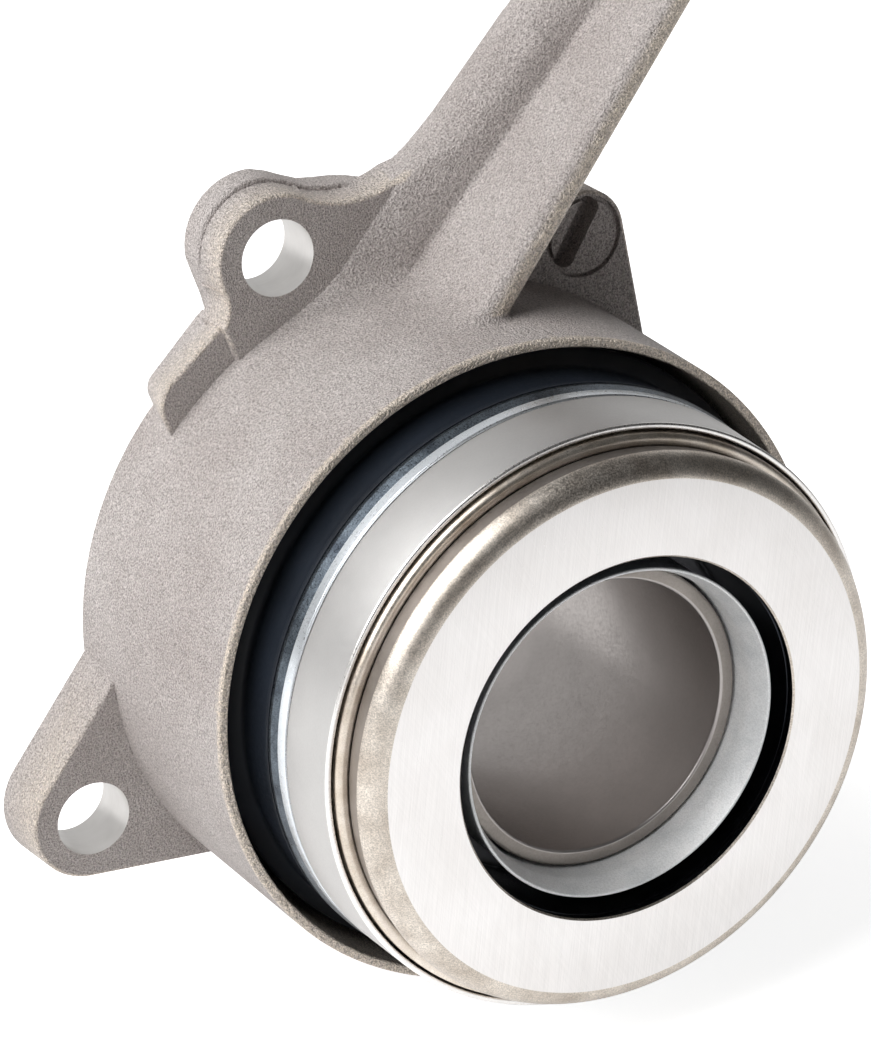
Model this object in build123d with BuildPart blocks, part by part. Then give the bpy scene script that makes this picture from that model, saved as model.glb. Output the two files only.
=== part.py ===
from build123d import *
import os
from math import cos, pi, radians, sin

os.makedirs("parts", exist_ok=True)

# Concentric slave cylinder for a hydraulic clutch.
# Millimetres. The bore axis lies along Y and the release bearing faces -Y.
# The origin is on the bore axis, in the face that bolts to the gearbox.
# Heights are measured forward (-Y) from that face.

# Housing casting
SKIRT_CLEARANCE = 2.7
SKIRT_WALL = 1.1
SKIRT_DRAFT = 0.9
RIM_H = 33.5
SPRING_FLOOR_H = 8.8
CHAMBER_WIDTH = 7.3
CHAMBER_FLOOR_H = 3.5
BOSS_WALL = 3.9
BOSS_H = 25.9
FLOOR_FILLET = 0.5
RIM_EDGE = 0.2

# Bolt lugs, on one pitch circle but unevenly spaced
BOLT_CIRCLE_R = 47.0
BOLT_HOLE_R = 4.5
LUG_WALL = 2.9
LUG_H = 7.5
LUG_SPREAD = 24.0
STEP_H = 6.8
LOWER_LUG_ANGLE = 205.5
UPPER_LUG_ANGLE = 111.8
HIDDEN_LUG_ANGLE = 339.0

# Blind boss at the upper right, with a slotted disc cast into its face
BOSS_ANGLE = 64.2
BOSS_CIRCLE_R = 45.9
BLIND_BOSS_R = 5.5
BLIND_BOSS_H = 11.8
DISC_R = 4.4
DISC_GROOVE = 0.3
DISC_DEPTH = 0.5
SLOT_CENTRE = (19.0, 42.0)
SLOT_ANGLE = 60.5
SLOT_LENGTH = 8.8
SLOT_WIDTH = 2.0
SLOT_DEPTH = 2.4

# Outline of the upper left lug, its lower pad and the blind boss, as points seen from the front
LUG_FOOT = (-22.2, 31.0)
NECK = (-24.4, 36.4)
NECK_BULGE = (-23.75, 38.4)
CROWN_DIP = (-9.0, 48.9)
CROWN_END = (-2.0, 50.5)
LUG_INSIDE_ARM = (3.0, 46.6)
PAD_CORNER = (-30.6, 31.0)
PAD_BULGE = (-31.9, 28.9)
PAD_SIDE = (-31.7, 26.6)
PAD_FOOT = (-29.8, 22.0)
BOSS_FOOT_1 = (29.2, 25.0)
BOSS_FOOT_2 = (5.0, 37.0)

# Supply arm: a round gallery ridge with a web along its front
ARM_ANGLE = 51.0
ARM_OFFSET = 24.6
RIDGE_R = 6.5
RIDGE_H = 6.6
WEB_WALL = 3.8
WEB_FOOT_H = 26.2
WEB_END_H = 22.0
WEB_START = 32.5
WEB_EDGE_FILLET = 1.6
VALLEY_FILLET = 3.0
ARM_LENGTH = 104.0
WEB_SETBACK = 26.0
WEB_RUN_OUT = 6.0
GALLERY_R = 1.6
GALLERY_H = 5.5
ROOT_FILLET = 1.5

# Ports at the arm's end
INLET_BOSS_R = 8.5
INLET_BOSS_LENGTH = 16.0
INLET_R = 5.5
INLET_DEPTH = 12.0
BLEED_SETBACK = 22.0
BLEED_BOSS_R = 6.5
BLEED_BOSS_REACH = 13.0
BLEED_THREAD_R = 4.0
BLEED_DRILL_R = 1.5
BLEED_DEPTH = 7.0
BLEED_HEX = 8.0
BLEED_HEX_T = 5.0
NIPPLE_R = 2.6
NIPPLE_BORE_R = 1.0
NIPPLE_LENGTH = 7.0
CAP_WALL = 1.0

# Guide tube and its seals
TUBE_BORE_R = 16.0
TUBE_WALL = 1.8
TUBE_H = 48.7
TUBE_FLANGE_WIDTH = 3.2
TUBE_FLANGE_T = 1.2
TUBE_EDGE = 0.35
TUBE_SEAL_SECTION = 0.75
SEAT_GAP = 0.05
FACE_SEAL_SETBACK = 5.3
FACE_SEAL_SECTION = 1.0

# Piston
RUNNING_CLEARANCE = 0.05
PISTON_BACK_H = 20.5
PISTON_SEAL_T = 4.0
SEAL_LIP = 0.8
GUIDE_RING_SETBACK = 1.5
GUIDE_RING_T = 0.8
GUIDE_RING_WIDTH = 2.6

# Carrier: the pressed flanged sleeve that joins the piston to the bearing
CARRIER_T = 1.0
CARRIER_SLEEVE_WALL = 0.8
SLEEVE_CLEARANCE = 0.35
SLEEVE_SETBACK = 1.65
SLEEVE_FLARE = 0.75
FLARE_H = 3.0
LIP_EDGE = 0.45
CARRIER_BEAD = 0.3
CARRIER_RIM_WALL = 0.35
CARRIER_RIM_RISE = 2.3

# Release bearing, placed from its front face with the piston right forward
FACE_H = 55.6
BEARING_DEPTH = 18.0
BALL_DEPTH = 10.0
RING_BEHIND_BALLS = 3.8
BALL_R = 2.75
BALL_COUNT = 18
GROOVE_CLEARANCE = 0.05
FACE_BORE_CLEARANCE = 2.18
INNER_RING_WALL = 4.27
FACE_OVERHANG = 0.8
FACE_EDGE_ROUND = 3.2
FACE_EDGE_BULGE = (2.25, 0.5)
FACE_EDGE_DROP = 1.5
FACE_CHAMFER = 0.3
FACE_SKIRT_WALL = 0.9
FACE_PLATE_T = 3.8
LABYRINTH_GAP = 0.3
OUTER_RING_WALL = 3.95
RACE_DEPTH = 0.8
STEP_DEPTH = 1.7
STEP_WIDTH = 1.45
OUTER_RING_SETBACK = 4.9
RING_FLOAT = 4.05
OUTER_RING_FLANGE_T = 2.0
SHELL_GAP = 0.3
SHELL_WALL = 1.0
SHELL_TAPER = 0.35
SHELL_SETBACK = 0.75
SEAL_T = 0.7
SEAL_GAP = 0.1
CAGE_WALL = 2.6
CAGE_T = 6.5
POCKET_CLEARANCE = 0.12
CENTRING_SPRING_OVERLAP = 1.8
CENTRING_SPRING_T = 0.6
SPRING_RISE = 0.2
CLIP_WIDTH = 1.65
CLIP_T = 0.8

# Preload spring and dust boot, at the length they have with the bearing right forward
SPRING_CLEARANCE = 1.3
SPRING_WIRE_R = 1.1
SPRING_TURNS = 5
SEAT_WASHER_T = 0.8
BOOT_CLEARANCE = 0.6
BOOT_PLEAT_DEPTH = 3.5
BOOT_WALL = 1.0
BOOT_PLEATS = 5
BOOT_NECK_SETBACK = 2.5
BOOT_COLLAR_T = 0.8

# Values worked out from the ones above
FRONT = Plane.XZ
SECTION = Plane(origin=(0, 0, 0), x_dir=(1, 0, 0), z_dir=(0, 0, -1))
TUBE_R = TUBE_BORE_R + TUBE_WALL
TUBE_FLANGE_R = TUBE_R + TUBE_FLANGE_WIDTH
CHAMBER_R = TUBE_R + CHAMBER_WIDTH
BOSS_R = CHAMBER_R + BOSS_WALL
PISTON_BORE_R = TUBE_R + RUNNING_CLEARANCE
PISTON_R = CHAMBER_R - RUNNING_CLEARANCE
GUIDE_RING_H = PISTON_BACK_H + GUIDE_RING_SETBACK
SLEEVE_BORE_R = TUBE_R + SLEEVE_CLEARANCE
SLEEVE_R = SLEEVE_BORE_R + CARRIER_SLEEVE_WALL
CLIP_R = SLEEVE_R + CLIP_WIDTH
GROOVE_R = BALL_R + GROOVE_CLEARANCE
FACE_BORE_R = SLEEVE_R + FACE_BORE_CLEARANCE
INNER_RACE_R = FACE_BORE_R + INNER_RING_WALL
BALL_PITCH_R = INNER_RACE_R + GROOVE_R - RACE_DEPTH
OUTER_RACE_R = BALL_PITCH_R + GROOVE_R - RACE_DEPTH
OUTER_RING_R = OUTER_RACE_R + OUTER_RING_WALL
OUTER_RING_FLANGE_R = SLEEVE_R + RING_FLOAT
CENTRING_SPRING_R = OUTER_RING_FLANGE_R + CENTRING_SPRING_OVERLAP
STEP_R = OUTER_RING_R - STEP_WIDTH
FACE_SKIRT_R = STEP_R - LABYRINTH_GAP
FACE_EDGE_R = FACE_SKIRT_R + FACE_OVERHANG
FACE_R = FACE_EDGE_R - FACE_EDGE_ROUND
SHELL_BORE_R = OUTER_RING_R + SHELL_GAP
SHELL_R = SHELL_BORE_R + SHELL_WALL
SHELL_FRONT_R = SHELL_R - SHELL_TAPER
CARRIER_RIM_R = SHELL_R - SEAT_GAP
SKIRT_BORE_R = CARRIER_RIM_R + CARRIER_BEAD + SKIRT_CLEARANCE
SKIRT_RIM_R = SKIRT_BORE_R + SKIRT_WALL
SKIRT_FOOT_R = SKIRT_RIM_R + SKIRT_DRAFT
FACE_SEAL_R = SKIRT_BORE_R - FACE_SEAL_SETBACK
BOOT_OUTER_R = SKIRT_BORE_R - BOOT_CLEARANCE
BOOT_INNER_R = BOOT_OUTER_R - BOOT_PLEAT_DEPTH
SPRING_R = BOSS_R + SPRING_CLEARANCE + SPRING_WIRE_R
LUG_TIP_R = BOLT_HOLE_R + LUG_WALL
WEB_LENGTH = ARM_LENGTH - WEB_SETBACK
BLEED_ALONG = ARM_LENGTH - BLEED_SETBACK
CARRIER_BACK_H = FACE_H - BEARING_DEPTH
CARRIER_FRONT_H = CARRIER_BACK_H + CARRIER_T
CARRIER_RIM_H = CARRIER_FRONT_H + CARRIER_RIM_RISE
FLANGE_FRONT_H = CARRIER_FRONT_H + OUTER_RING_FLANGE_T
SLEEVE_H = FACE_H - SLEEVE_SETBACK
BALL_H = FACE_H - BALL_DEPTH
RING_BACK_H = BALL_H - RING_BEHIND_BALLS
OUTER_RING_H = FACE_H - OUTER_RING_SETBACK
STEP_FACE_H = OUTER_RING_H - STEP_DEPTH
SHELL_H = OUTER_RING_H - SHELL_SETBACK
SEAT_H = SPRING_FLOOR_H + SEAT_WASHER_T
BOOT_NECK_H = RIM_H - BOOT_NECK_SETBACK
SPRING_COIL_LENGTH = CARRIER_BACK_H - SEAT_H - 2 * SPRING_WIRE_R - 2 * SEAT_GAP
SPRING_PITCH = SPRING_COIL_LENGTH / SPRING_TURNS
BLEED_SEAT = BLEED_BOSS_REACH - BLEED_DEPTH
HEX_START = BLEED_BOSS_REACH + SEAT_GAP
NIPPLE_END = HEX_START + BLEED_HEX_T + NIPPLE_LENGTH
CAP_R = NIPPLE_R + 0.5 + CAP_WALL


def on_circle(radius, angle):
    """Point at a radius and angle round the bore axis, seen from the front."""
    return (radius * cos(radians(angle)), radius * sin(radians(angle)))


def tangent_point(centre, radius, point, side):
    """Where a line from a point touches a circle, left (+1) or right (-1) of the way from centre to point."""
    away = Vector(point[0] - centre[0], point[1] - centre[1])
    share = radius / away.length
    along = away.normalized()
    across = Vector(-along.Y, along.X) * side
    touch = along * radius * share + across * radius * (1 - share**2) ** 0.5
    return (centre[0] + touch.X, centre[1] + touch.Y)


def arm_point(along, across):
    """Point in the front view, along the arm and across it from the bore axis."""
    turn = radians(ARM_ANGLE)
    return (along * cos(turn) - across * sin(turn), along * sin(turn) + across * cos(turn))


UPPER_HOLE = on_circle(BOLT_CIRCLE_R, UPPER_LUG_ANGLE)
DISC_CENTRE = on_circle(BOSS_CIRCLE_R, BOSS_ANGLE)

BOSS_TOUCH_1 = tangent_point(DISC_CENTRE, BLIND_BOSS_R, BOSS_FOOT_1, 1)
BOSS_TOUCH_2 = tangent_point(DISC_CENTRE, BLIND_BOSS_R, BOSS_FOOT_2, -1)
SHOULDER = (UPPER_HOLE[0] - LUG_TIP_R * cos(radians(24)), UPPER_HOLE[1] - LUG_TIP_R * sin(radians(24)))
CROWN = (UPPER_HOLE[0] + LUG_TIP_R * cos(radians(58)), UPPER_HOLE[1] + LUG_TIP_R * sin(radians(58)))

def boot_folds(low, high):
    """One side of the boot's pleated wall, from its rear bead to its plain neck."""
    start = SPRING_FLOOR_H + 2 * BOOT_COLLAR_T
    rise = (BOOT_NECK_H - start) / (2 * BOOT_PLEATS)
    return [(high if i % 2 else low, start + rise * i) for i in range(2 * BOOT_PLEATS + 1)]


# Planes of the arm: its length runs along x, and y points forward
ARM_START = arm_point(0, ARM_OFFSET)
ARM_TURN = radians(ARM_ANGLE)
ARM_WAY = (cos(ARM_TURN), 0, sin(ARM_TURN))
BLEED_WAY = (-sin(ARM_TURN), 0, cos(ARM_TURN))
ARM_SIDE = Plane(
    origin=(ARM_START[0], 0, ARM_START[1]),
    x_dir=ARM_WAY,
    z_dir=(sin(ARM_TURN), 0, -cos(ARM_TURN)),
)
ARM_END = Plane(origin=(ARM_START[0], -RIDGE_H, ARM_START[1]), x_dir=(0, -1, 0), z_dir=ARM_WAY)
GALLERY_END = Plane(origin=(ARM_START[0], -GALLERY_H, ARM_START[1]), x_dir=(0, -1, 0), z_dir=ARM_WAY)
PORT_END = Plane(origin=(ARM_START[0], -INLET_BOSS_R, ARM_START[1]), x_dir=(0, -1, 0), z_dir=ARM_WAY)
BLEED_START = arm_point(BLEED_ALONG, ARM_OFFSET)
BLEED_END = Plane(origin=(BLEED_START[0], -RIDGE_H, BLEED_START[1]), x_dir=(0, -1, 0), z_dir=BLEED_WAY)
BLEED_SIDE = Plane(
    origin=(BLEED_START[0], -RIDGE_H, BLEED_START[1]),
    x_dir=(0, -1, 0),
    z_dir=(-cos(ARM_TURN), 0, -sin(ARM_TURN)),
)
BLEED_AXIS = Axis((BLEED_START[0], -RIDGE_H, BLEED_START[1]), BLEED_WAY)


# Housing, cast in one piece
with BuildPart() as housing:
    with BuildSketch(SECTION):
        with BuildLine():
            Polyline((0, 0), (SKIRT_FOOT_R, 0), (SKIRT_RIM_R, RIM_H), (0, RIM_H), close=True)
        make_face()
    revolve(axis=Axis.Y)

    # Lower left lug and the one hidden behind the bearing
    for angle in (LOWER_LUG_ANGLE, HIDDEN_LUG_ANGLE):
        hole = on_circle(BOLT_CIRCLE_R, angle)
        first = on_circle(SKIRT_BORE_R, angle - LUG_SPREAD)
        last = on_circle(SKIRT_BORE_R, angle + LUG_SPREAD)
        first_touch = tangent_point(hole, LUG_TIP_R, first, 1)
        last_touch = tangent_point(hole, LUG_TIP_R, last, -1)
        with BuildSketch(FRONT):
            with BuildLine():
                Line(first, first_touch)
                ThreePointArc(first_touch, on_circle(BOLT_CIRCLE_R + LUG_TIP_R, angle), last_touch)
                Polyline(last_touch, last, (0, 0), first)
            make_face()
        extrude(amount=LUG_H)
    # Upper left lug, from its neck round the tip to the arm
    with BuildSketch(FRONT):
        with BuildLine():
            Line(LUG_FOOT, NECK)
            ThreePointArc(NECK, NECK_BULGE, SHOULDER)
            ThreePointArc(SHOULDER, on_circle(BOLT_CIRCLE_R + LUG_TIP_R, UPPER_LUG_ANGLE), CROWN)
            ThreePointArc(CROWN, CROWN_DIP, CROWN_END)
            Polyline(CROWN_END, LUG_INSIDE_ARM, (0, 0), LUG_FOOT)
        make_face()
    extrude(amount=LUG_H)
    # Lower pad beside the upper left lug
    with BuildSketch(FRONT):
        with BuildLine():
            Line(NECK, PAD_CORNER)
            ThreePointArc(PAD_CORNER, PAD_BULGE, PAD_SIDE)
            Polyline(PAD_SIDE, PAD_FOOT, (0, 0), NECK)
        make_face()
    extrude(amount=STEP_H)
    # Blind boss at the upper right
    with BuildSketch(FRONT):
        with BuildLine():
            Line(BOSS_FOOT_1, BOSS_TOUCH_1)
            ThreePointArc(BOSS_TOUCH_1, on_circle(BOSS_CIRCLE_R + BLIND_BOSS_R, BOSS_ANGLE), BOSS_TOUCH_2)
            Polyline(BOSS_TOUCH_2, BOSS_FOOT_2, (0, 0), BOSS_FOOT_1)
        make_face()
    extrude(amount=BLIND_BOSS_H)

    # Arm: a round gallery ridge with a web standing on its front, which falls towards the far end
    with BuildSketch(ARM_END):
        Circle(RIDGE_R)
        with Locations(((WEB_FOOT_H - RIDGE_H) / 2, 0)):
            Rectangle(WEB_FOOT_H - RIDGE_H, WEB_WALL)
        fillet(vertices().filter_by_position(Axis.X, 0, RIDGE_R), VALLEY_FILLET)
    extrude(amount=ARM_LENGTH)
    with BuildSketch(ARM_SIDE):
        with BuildLine():
            Polyline(
                (WEB_START, WEB_FOOT_H),
                (WEB_LENGTH, WEB_END_H),
                (WEB_LENGTH, WEB_FOOT_H + 1),
                (WEB_START, WEB_FOOT_H + 1),
                close=True,
            )
        make_face()
    extrude(amount=WEB_WALL / 2 + 0.1, both=True, mode=Mode.SUBTRACT)
    with BuildSketch(ARM_SIDE):
        with BuildLine():
            Polyline(
                (WEB_LENGTH, WEB_END_H),
                (WEB_LENGTH + WEB_RUN_OUT, RIDGE_H + RIDGE_R),
                (ARM_LENGTH + 1, RIDGE_H + RIDGE_R),
                (ARM_LENGTH + 1, WEB_FOOT_H + 1),
                (WEB_LENGTH, WEB_FOOT_H + 1),
                close=True,
            )
        make_face()
    extrude(amount=RIDGE_R, both=True, mode=Mode.SUBTRACT)

    # Bosses for the two ports at the arm's end
    with BuildSketch(PORT_END.offset(ARM_LENGTH - INLET_BOSS_LENGTH)):
        Circle(INLET_BOSS_R)
    extrude(amount=INLET_BOSS_LENGTH)
    with BuildSketch(BLEED_END):
        Circle(BLEED_BOSS_R)
    extrude(amount=BLEED_BOSS_REACH)

    # Blends at the feet of the lugs and bosses, and the round front edges of the web
    for height in (LUG_H, BLIND_BOSS_H):
        feet = edges().filter_by(GeomType.CIRCLE).filter_by(lambda edge: SKIRT_RIM_R < edge.radius < SKIRT_FOOT_R)
        fillet(feet.filter_by(lambda edge: abs(edge.center().Y + height) < 0.01), ROOT_FILLET)
    high_lines = edges().filter_by(GeomType.LINE).filter_by(lambda edge: -edge.center().Y > RIDGE_H + 2 * RIDGE_R)
    fillet(high_lines.filter_by(lambda edge: edge.length > (WEB_LENGTH - WEB_START) / 2), WEB_EDGE_FILLET)

    # Spring annulus, piston chamber, bore for the guide tube and the seal grooves at the back
    with BuildSketch(SECTION):
        with BuildLine():
            Polyline(
                (0, -1),
                (TUBE_FLANGE_R + SEAT_GAP, -1),
                (TUBE_FLANGE_R + SEAT_GAP, TUBE_FLANGE_T),
                (TUBE_R + 2 * TUBE_SEAL_SECTION + SEAT_GAP, TUBE_FLANGE_T),
                (TUBE_R + 2 * TUBE_SEAL_SECTION + SEAT_GAP, TUBE_FLANGE_T + 2 * TUBE_SEAL_SECTION + SEAT_GAP),
                (TUBE_R, TUBE_FLANGE_T + 2 * TUBE_SEAL_SECTION + SEAT_GAP),
                (TUBE_R, CHAMBER_FLOOR_H),
                (CHAMBER_R, CHAMBER_FLOOR_H),
                (CHAMBER_R, BOSS_H - RIM_EDGE),
                (CHAMBER_R + RIM_EDGE, BOSS_H),
                (BOSS_R - RIM_EDGE, BOSS_H),
                (BOSS_R, BOSS_H - RIM_EDGE),
                (BOSS_R, SPRING_FLOOR_H + FLOOR_FILLET),
                (BOSS_R + FLOOR_FILLET, SPRING_FLOOR_H),
                (SKIRT_BORE_R - FLOOR_FILLET, SPRING_FLOOR_H),
                (SKIRT_BORE_R, SPRING_FLOOR_H + FLOOR_FILLET),
                (SKIRT_BORE_R, RIM_H + 1),
                (0, RIM_H + 1),
                close=True,
            )
        make_face()
        with Locations((FACE_SEAL_R, FACE_SEAL_SECTION)):
            Rectangle(2 * FACE_SEAL_SECTION + SEAT_GAP, 2 * FACE_SEAL_SECTION)
    revolve(axis=Axis.Y, mode=Mode.SUBTRACT)
    rim = edges().filter_by(GeomType.CIRCLE).filter_by(lambda edge: -edge.center().Y > RIM_H - 0.1)
    fillet(rim, RIM_EDGE)

    # Bolt holes
    with BuildSketch(FRONT):
        for angle in (LOWER_LUG_ANGLE, UPPER_LUG_ANGLE, HIDDEN_LUG_ANGLE):
            with Locations(on_circle(BOLT_CIRCLE_R, angle)):
                Circle(BOLT_HOLE_R)
    extrude(amount=LUG_H, mode=Mode.SUBTRACT)

    # Groove round the disc on the blind boss, and its slot
    with BuildSketch(FRONT.offset(BLIND_BOSS_H)):
        with Locations(DISC_CENTRE):
            Circle(DISC_R + DISC_GROOVE)
            Circle(DISC_R, mode=Mode.SUBTRACT)
    extrude(amount=-DISC_DEPTH, mode=Mode.SUBTRACT)
    with BuildSketch(FRONT.offset(BLIND_BOSS_H)):
        with Locations(Location(SLOT_CENTRE, SLOT_ANGLE)):
            Rectangle(SLOT_LENGTH, SLOT_WIDTH)
    extrude(amount=-SLOT_DEPTH, mode=Mode.SUBTRACT)

    # Gallery along the arm into the chamber, with the inlet and bleed ports
    with BuildSketch(GALLERY_END):
        Circle(GALLERY_R)
    extrude(amount=ARM_LENGTH - INLET_DEPTH, mode=Mode.SUBTRACT)
    with BuildSketch(PORT_END.offset(ARM_LENGTH)):
        Circle(INLET_R)
    extrude(amount=-INLET_DEPTH, mode=Mode.SUBTRACT)
    with BuildSketch(BLEED_END):
        Circle(BLEED_DRILL_R)
    extrude(amount=BLEED_BOSS_REACH, mode=Mode.SUBTRACT)
    with BuildSketch(BLEED_END.offset(BLEED_BOSS_REACH)):
        Circle(BLEED_THREAD_R + SEAT_GAP)
    extrude(amount=-BLEED_DEPTH, mode=Mode.SUBTRACT)

housing.part.label = "housing"
export_step(housing.part, "parts/housing.step")


# Guide tube round the gearbox input shaft
with BuildPart() as guide_tube:
    with BuildSketch(SECTION):
        with BuildLine():
            Polyline(
                (TUBE_BORE_R, 0),
                (TUBE_FLANGE_R, 0),
                (TUBE_FLANGE_R, TUBE_FLANGE_T),
                (TUBE_R, TUBE_FLANGE_T),
                (TUBE_R, TUBE_H - TUBE_EDGE),
                (TUBE_R - TUBE_EDGE, TUBE_H),
                (TUBE_BORE_R + TUBE_EDGE, TUBE_H),
                (TUBE_BORE_R, TUBE_H - TUBE_EDGE),
                close=True,
            )
        make_face()
    revolve(axis=Axis.Y)

guide_tube.part.label = "guide_tube"
export_step(guide_tube.part, "parts/guide_tube.step")


# Seal ring between the guide tube and the housing
with BuildPart() as guide_tube_seal:
    with BuildSketch(SECTION):
        with Locations((TUBE_R + TUBE_SEAL_SECTION, TUBE_FLANGE_T + TUBE_SEAL_SECTION)):
            Circle(TUBE_SEAL_SECTION)
    revolve(axis=Axis.Y)

guide_tube_seal.part.label = "guide_tube_seal"
export_step(guide_tube_seal.part, "parts/guide_tube_seal.step")


# Seal ring between the housing and the gearbox
with BuildPart() as mounting_seal:
    with BuildSketch(SECTION):
        with Locations((FACE_SEAL_R, FACE_SEAL_SECTION)):
            Circle(FACE_SEAL_SECTION)
    revolve(axis=Axis.Y)

mounting_seal.part.label = "mounting_seal"
export_step(mounting_seal.part, "parts/mounting_seal.step")


# Annular piston, with a groove for its guide ring
with BuildPart() as annular_piston:
    with BuildSketch(SECTION):
        with BuildLine():
            Polyline(
                (PISTON_BORE_R, PISTON_BACK_H),
                (PISTON_R, PISTON_BACK_H),
                (PISTON_R, GUIDE_RING_H),
                (PISTON_R - GUIDE_RING_T, GUIDE_RING_H),
                (PISTON_R - GUIDE_RING_T, GUIDE_RING_H + GUIDE_RING_WIDTH),
                (PISTON_R, GUIDE_RING_H + GUIDE_RING_WIDTH),
                (PISTON_R, CARRIER_BACK_H),
                (PISTON_BORE_R, CARRIER_BACK_H),
                close=True,
            )
        make_face()
    revolve(axis=Axis.Y)

annular_piston.part.label = "annular_piston"
export_step(annular_piston.part, "parts/annular_piston.step")


# Guide ring in the piston's groove
with BuildPart() as piston_guide_ring:
    with BuildSketch(FRONT.offset(GUIDE_RING_H)):
        Circle(PISTON_R)
        Circle(PISTON_R - GUIDE_RING_T, mode=Mode.SUBTRACT)
    extrude(amount=GUIDE_RING_WIDTH)

piston_guide_ring.part.label = "piston_guide_ring"
export_step(piston_guide_ring.part, "parts/piston_guide_ring.step")


# Lip seal behind the piston, open to the pressure side
with BuildPart() as piston_seal:
    with BuildSketch(SECTION):
        with BuildLine():
            Polyline(
                (PISTON_BORE_R, PISTON_BACK_H - PISTON_SEAL_T),
                (PISTON_BORE_R + SEAL_LIP, PISTON_BACK_H - PISTON_SEAL_T),
                (PISTON_BORE_R + 3 * SEAL_LIP, PISTON_BACK_H - PISTON_SEAL_T / 2),
                (PISTON_R - 3 * SEAL_LIP, PISTON_BACK_H - PISTON_SEAL_T / 2),
                (PISTON_R - SEAL_LIP, PISTON_BACK_H - PISTON_SEAL_T),
                (PISTON_R, PISTON_BACK_H - PISTON_SEAL_T),
                (PISTON_R, PISTON_BACK_H),
                (PISTON_BORE_R, PISTON_BACK_H),
                close=True,
            )
        make_face()
    revolve(axis=Axis.Y)

piston_seal.part.label = "piston_seal"
export_step(piston_seal.part, "parts/piston_seal.step")


# Bearing carrier: a flared sleeve, a pan and a raised rim pressed in one piece
with BuildPart() as bearing_carrier:
    with BuildSketch(SECTION):
        with BuildLine():
            Polyline(
                (SLEEVE_BORE_R, CARRIER_BACK_H),
                (CARRIER_RIM_R + CARRIER_BEAD, CARRIER_BACK_H),
                (CARRIER_RIM_R + CARRIER_BEAD, CARRIER_FRONT_H - 0.4),
                (CARRIER_RIM_R, CARRIER_FRONT_H - 0.1),
                (CARRIER_RIM_R, CARRIER_RIM_H),
                (CARRIER_RIM_R - CARRIER_RIM_WALL, CARRIER_RIM_H),
                (CARRIER_RIM_R - CARRIER_RIM_WALL, CARRIER_FRONT_H),
                (SLEEVE_R, CARRIER_FRONT_H),
                (SLEEVE_R, SLEEVE_H - FLARE_H),
                (SLEEVE_BORE_R + SLEEVE_FLARE + LIP_EDGE, SLEEVE_H),
                (SLEEVE_BORE_R + SLEEVE_FLARE, SLEEVE_H),
                (SLEEVE_BORE_R, SLEEVE_H - FLARE_H),
                close=True,
            )
        make_face()
    revolve(axis=Axis.Y)

bearing_carrier.part.label = "bearing_carrier"
export_step(bearing_carrier.part, "parts/bearing_carrier.step")


# Bearing shell: the pressed sheet cup round the outer ring
with BuildPart() as bearing_shell:
    with BuildSketch(SECTION):
        with BuildLine():
            Polyline(
                (SHELL_BORE_R, CARRIER_FRONT_H),
                (CARRIER_RIM_R - CARRIER_RIM_WALL - SEAT_GAP, CARRIER_FRONT_H),
                (CARRIER_RIM_R - CARRIER_RIM_WALL - SEAT_GAP, CARRIER_RIM_H + 0.1),
                (SHELL_R, CARRIER_RIM_H + 0.6),
                (SHELL_FRONT_R, SHELL_H - 0.4),
            )
            ThreePointArc((SHELL_FRONT_R, SHELL_H - 0.4), (SHELL_FRONT_R - 0.12, SHELL_H - 0.12), (SHELL_FRONT_R - 0.4, SHELL_H))
            Polyline((SHELL_FRONT_R - 0.4, SHELL_H), (SHELL_BORE_R, SHELL_H), (SHELL_BORE_R, CARRIER_FRONT_H))
        make_face()
    revolve(axis=Axis.Y)

bearing_shell.part.label = "bearing_shell"
export_step(bearing_shell.part, "parts/bearing_shell.step")


# Outer ring of the bearing: it does not turn, and slides a little in its carrier to find the centre
with BuildPart() as bearing_outer_ring:
    with BuildSketch(SECTION):
        with BuildLine():
            Polyline(
                (OUTER_RING_FLANGE_R, CARRIER_FRONT_H),
                (OUTER_RING_R, CARRIER_FRONT_H),
                (OUTER_RING_R, OUTER_RING_H - 1.4),
            )
            ThreePointArc((OUTER_RING_R, OUTER_RING_H - 1.4), (OUTER_RING_R - 0.2, OUTER_RING_H - 0.6), (OUTER_RING_R - 0.65, OUTER_RING_H))
            Polyline(
                (OUTER_RING_R - 0.65, OUTER_RING_H),
                (STEP_R + 0.2, OUTER_RING_H),
                (STEP_R, OUTER_RING_H - 0.3),
                (STEP_R, STEP_FACE_H),
                (OUTER_RACE_R, STEP_FACE_H),
                (OUTER_RACE_R, FLANGE_FRONT_H),
                (OUTER_RING_FLANGE_R, FLANGE_FRONT_H),
                (OUTER_RING_FLANGE_R, CARRIER_FRONT_H),
            )
        make_face()
        with Locations((BALL_PITCH_R, BALL_H)):
            Circle(GROOVE_R, mode=Mode.SUBTRACT)
    revolve(axis=Axis.Y)

bearing_outer_ring.part.label = "bearing_outer_ring"
export_step(bearing_outer_ring.part, "parts/bearing_outer_ring.step")


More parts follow.
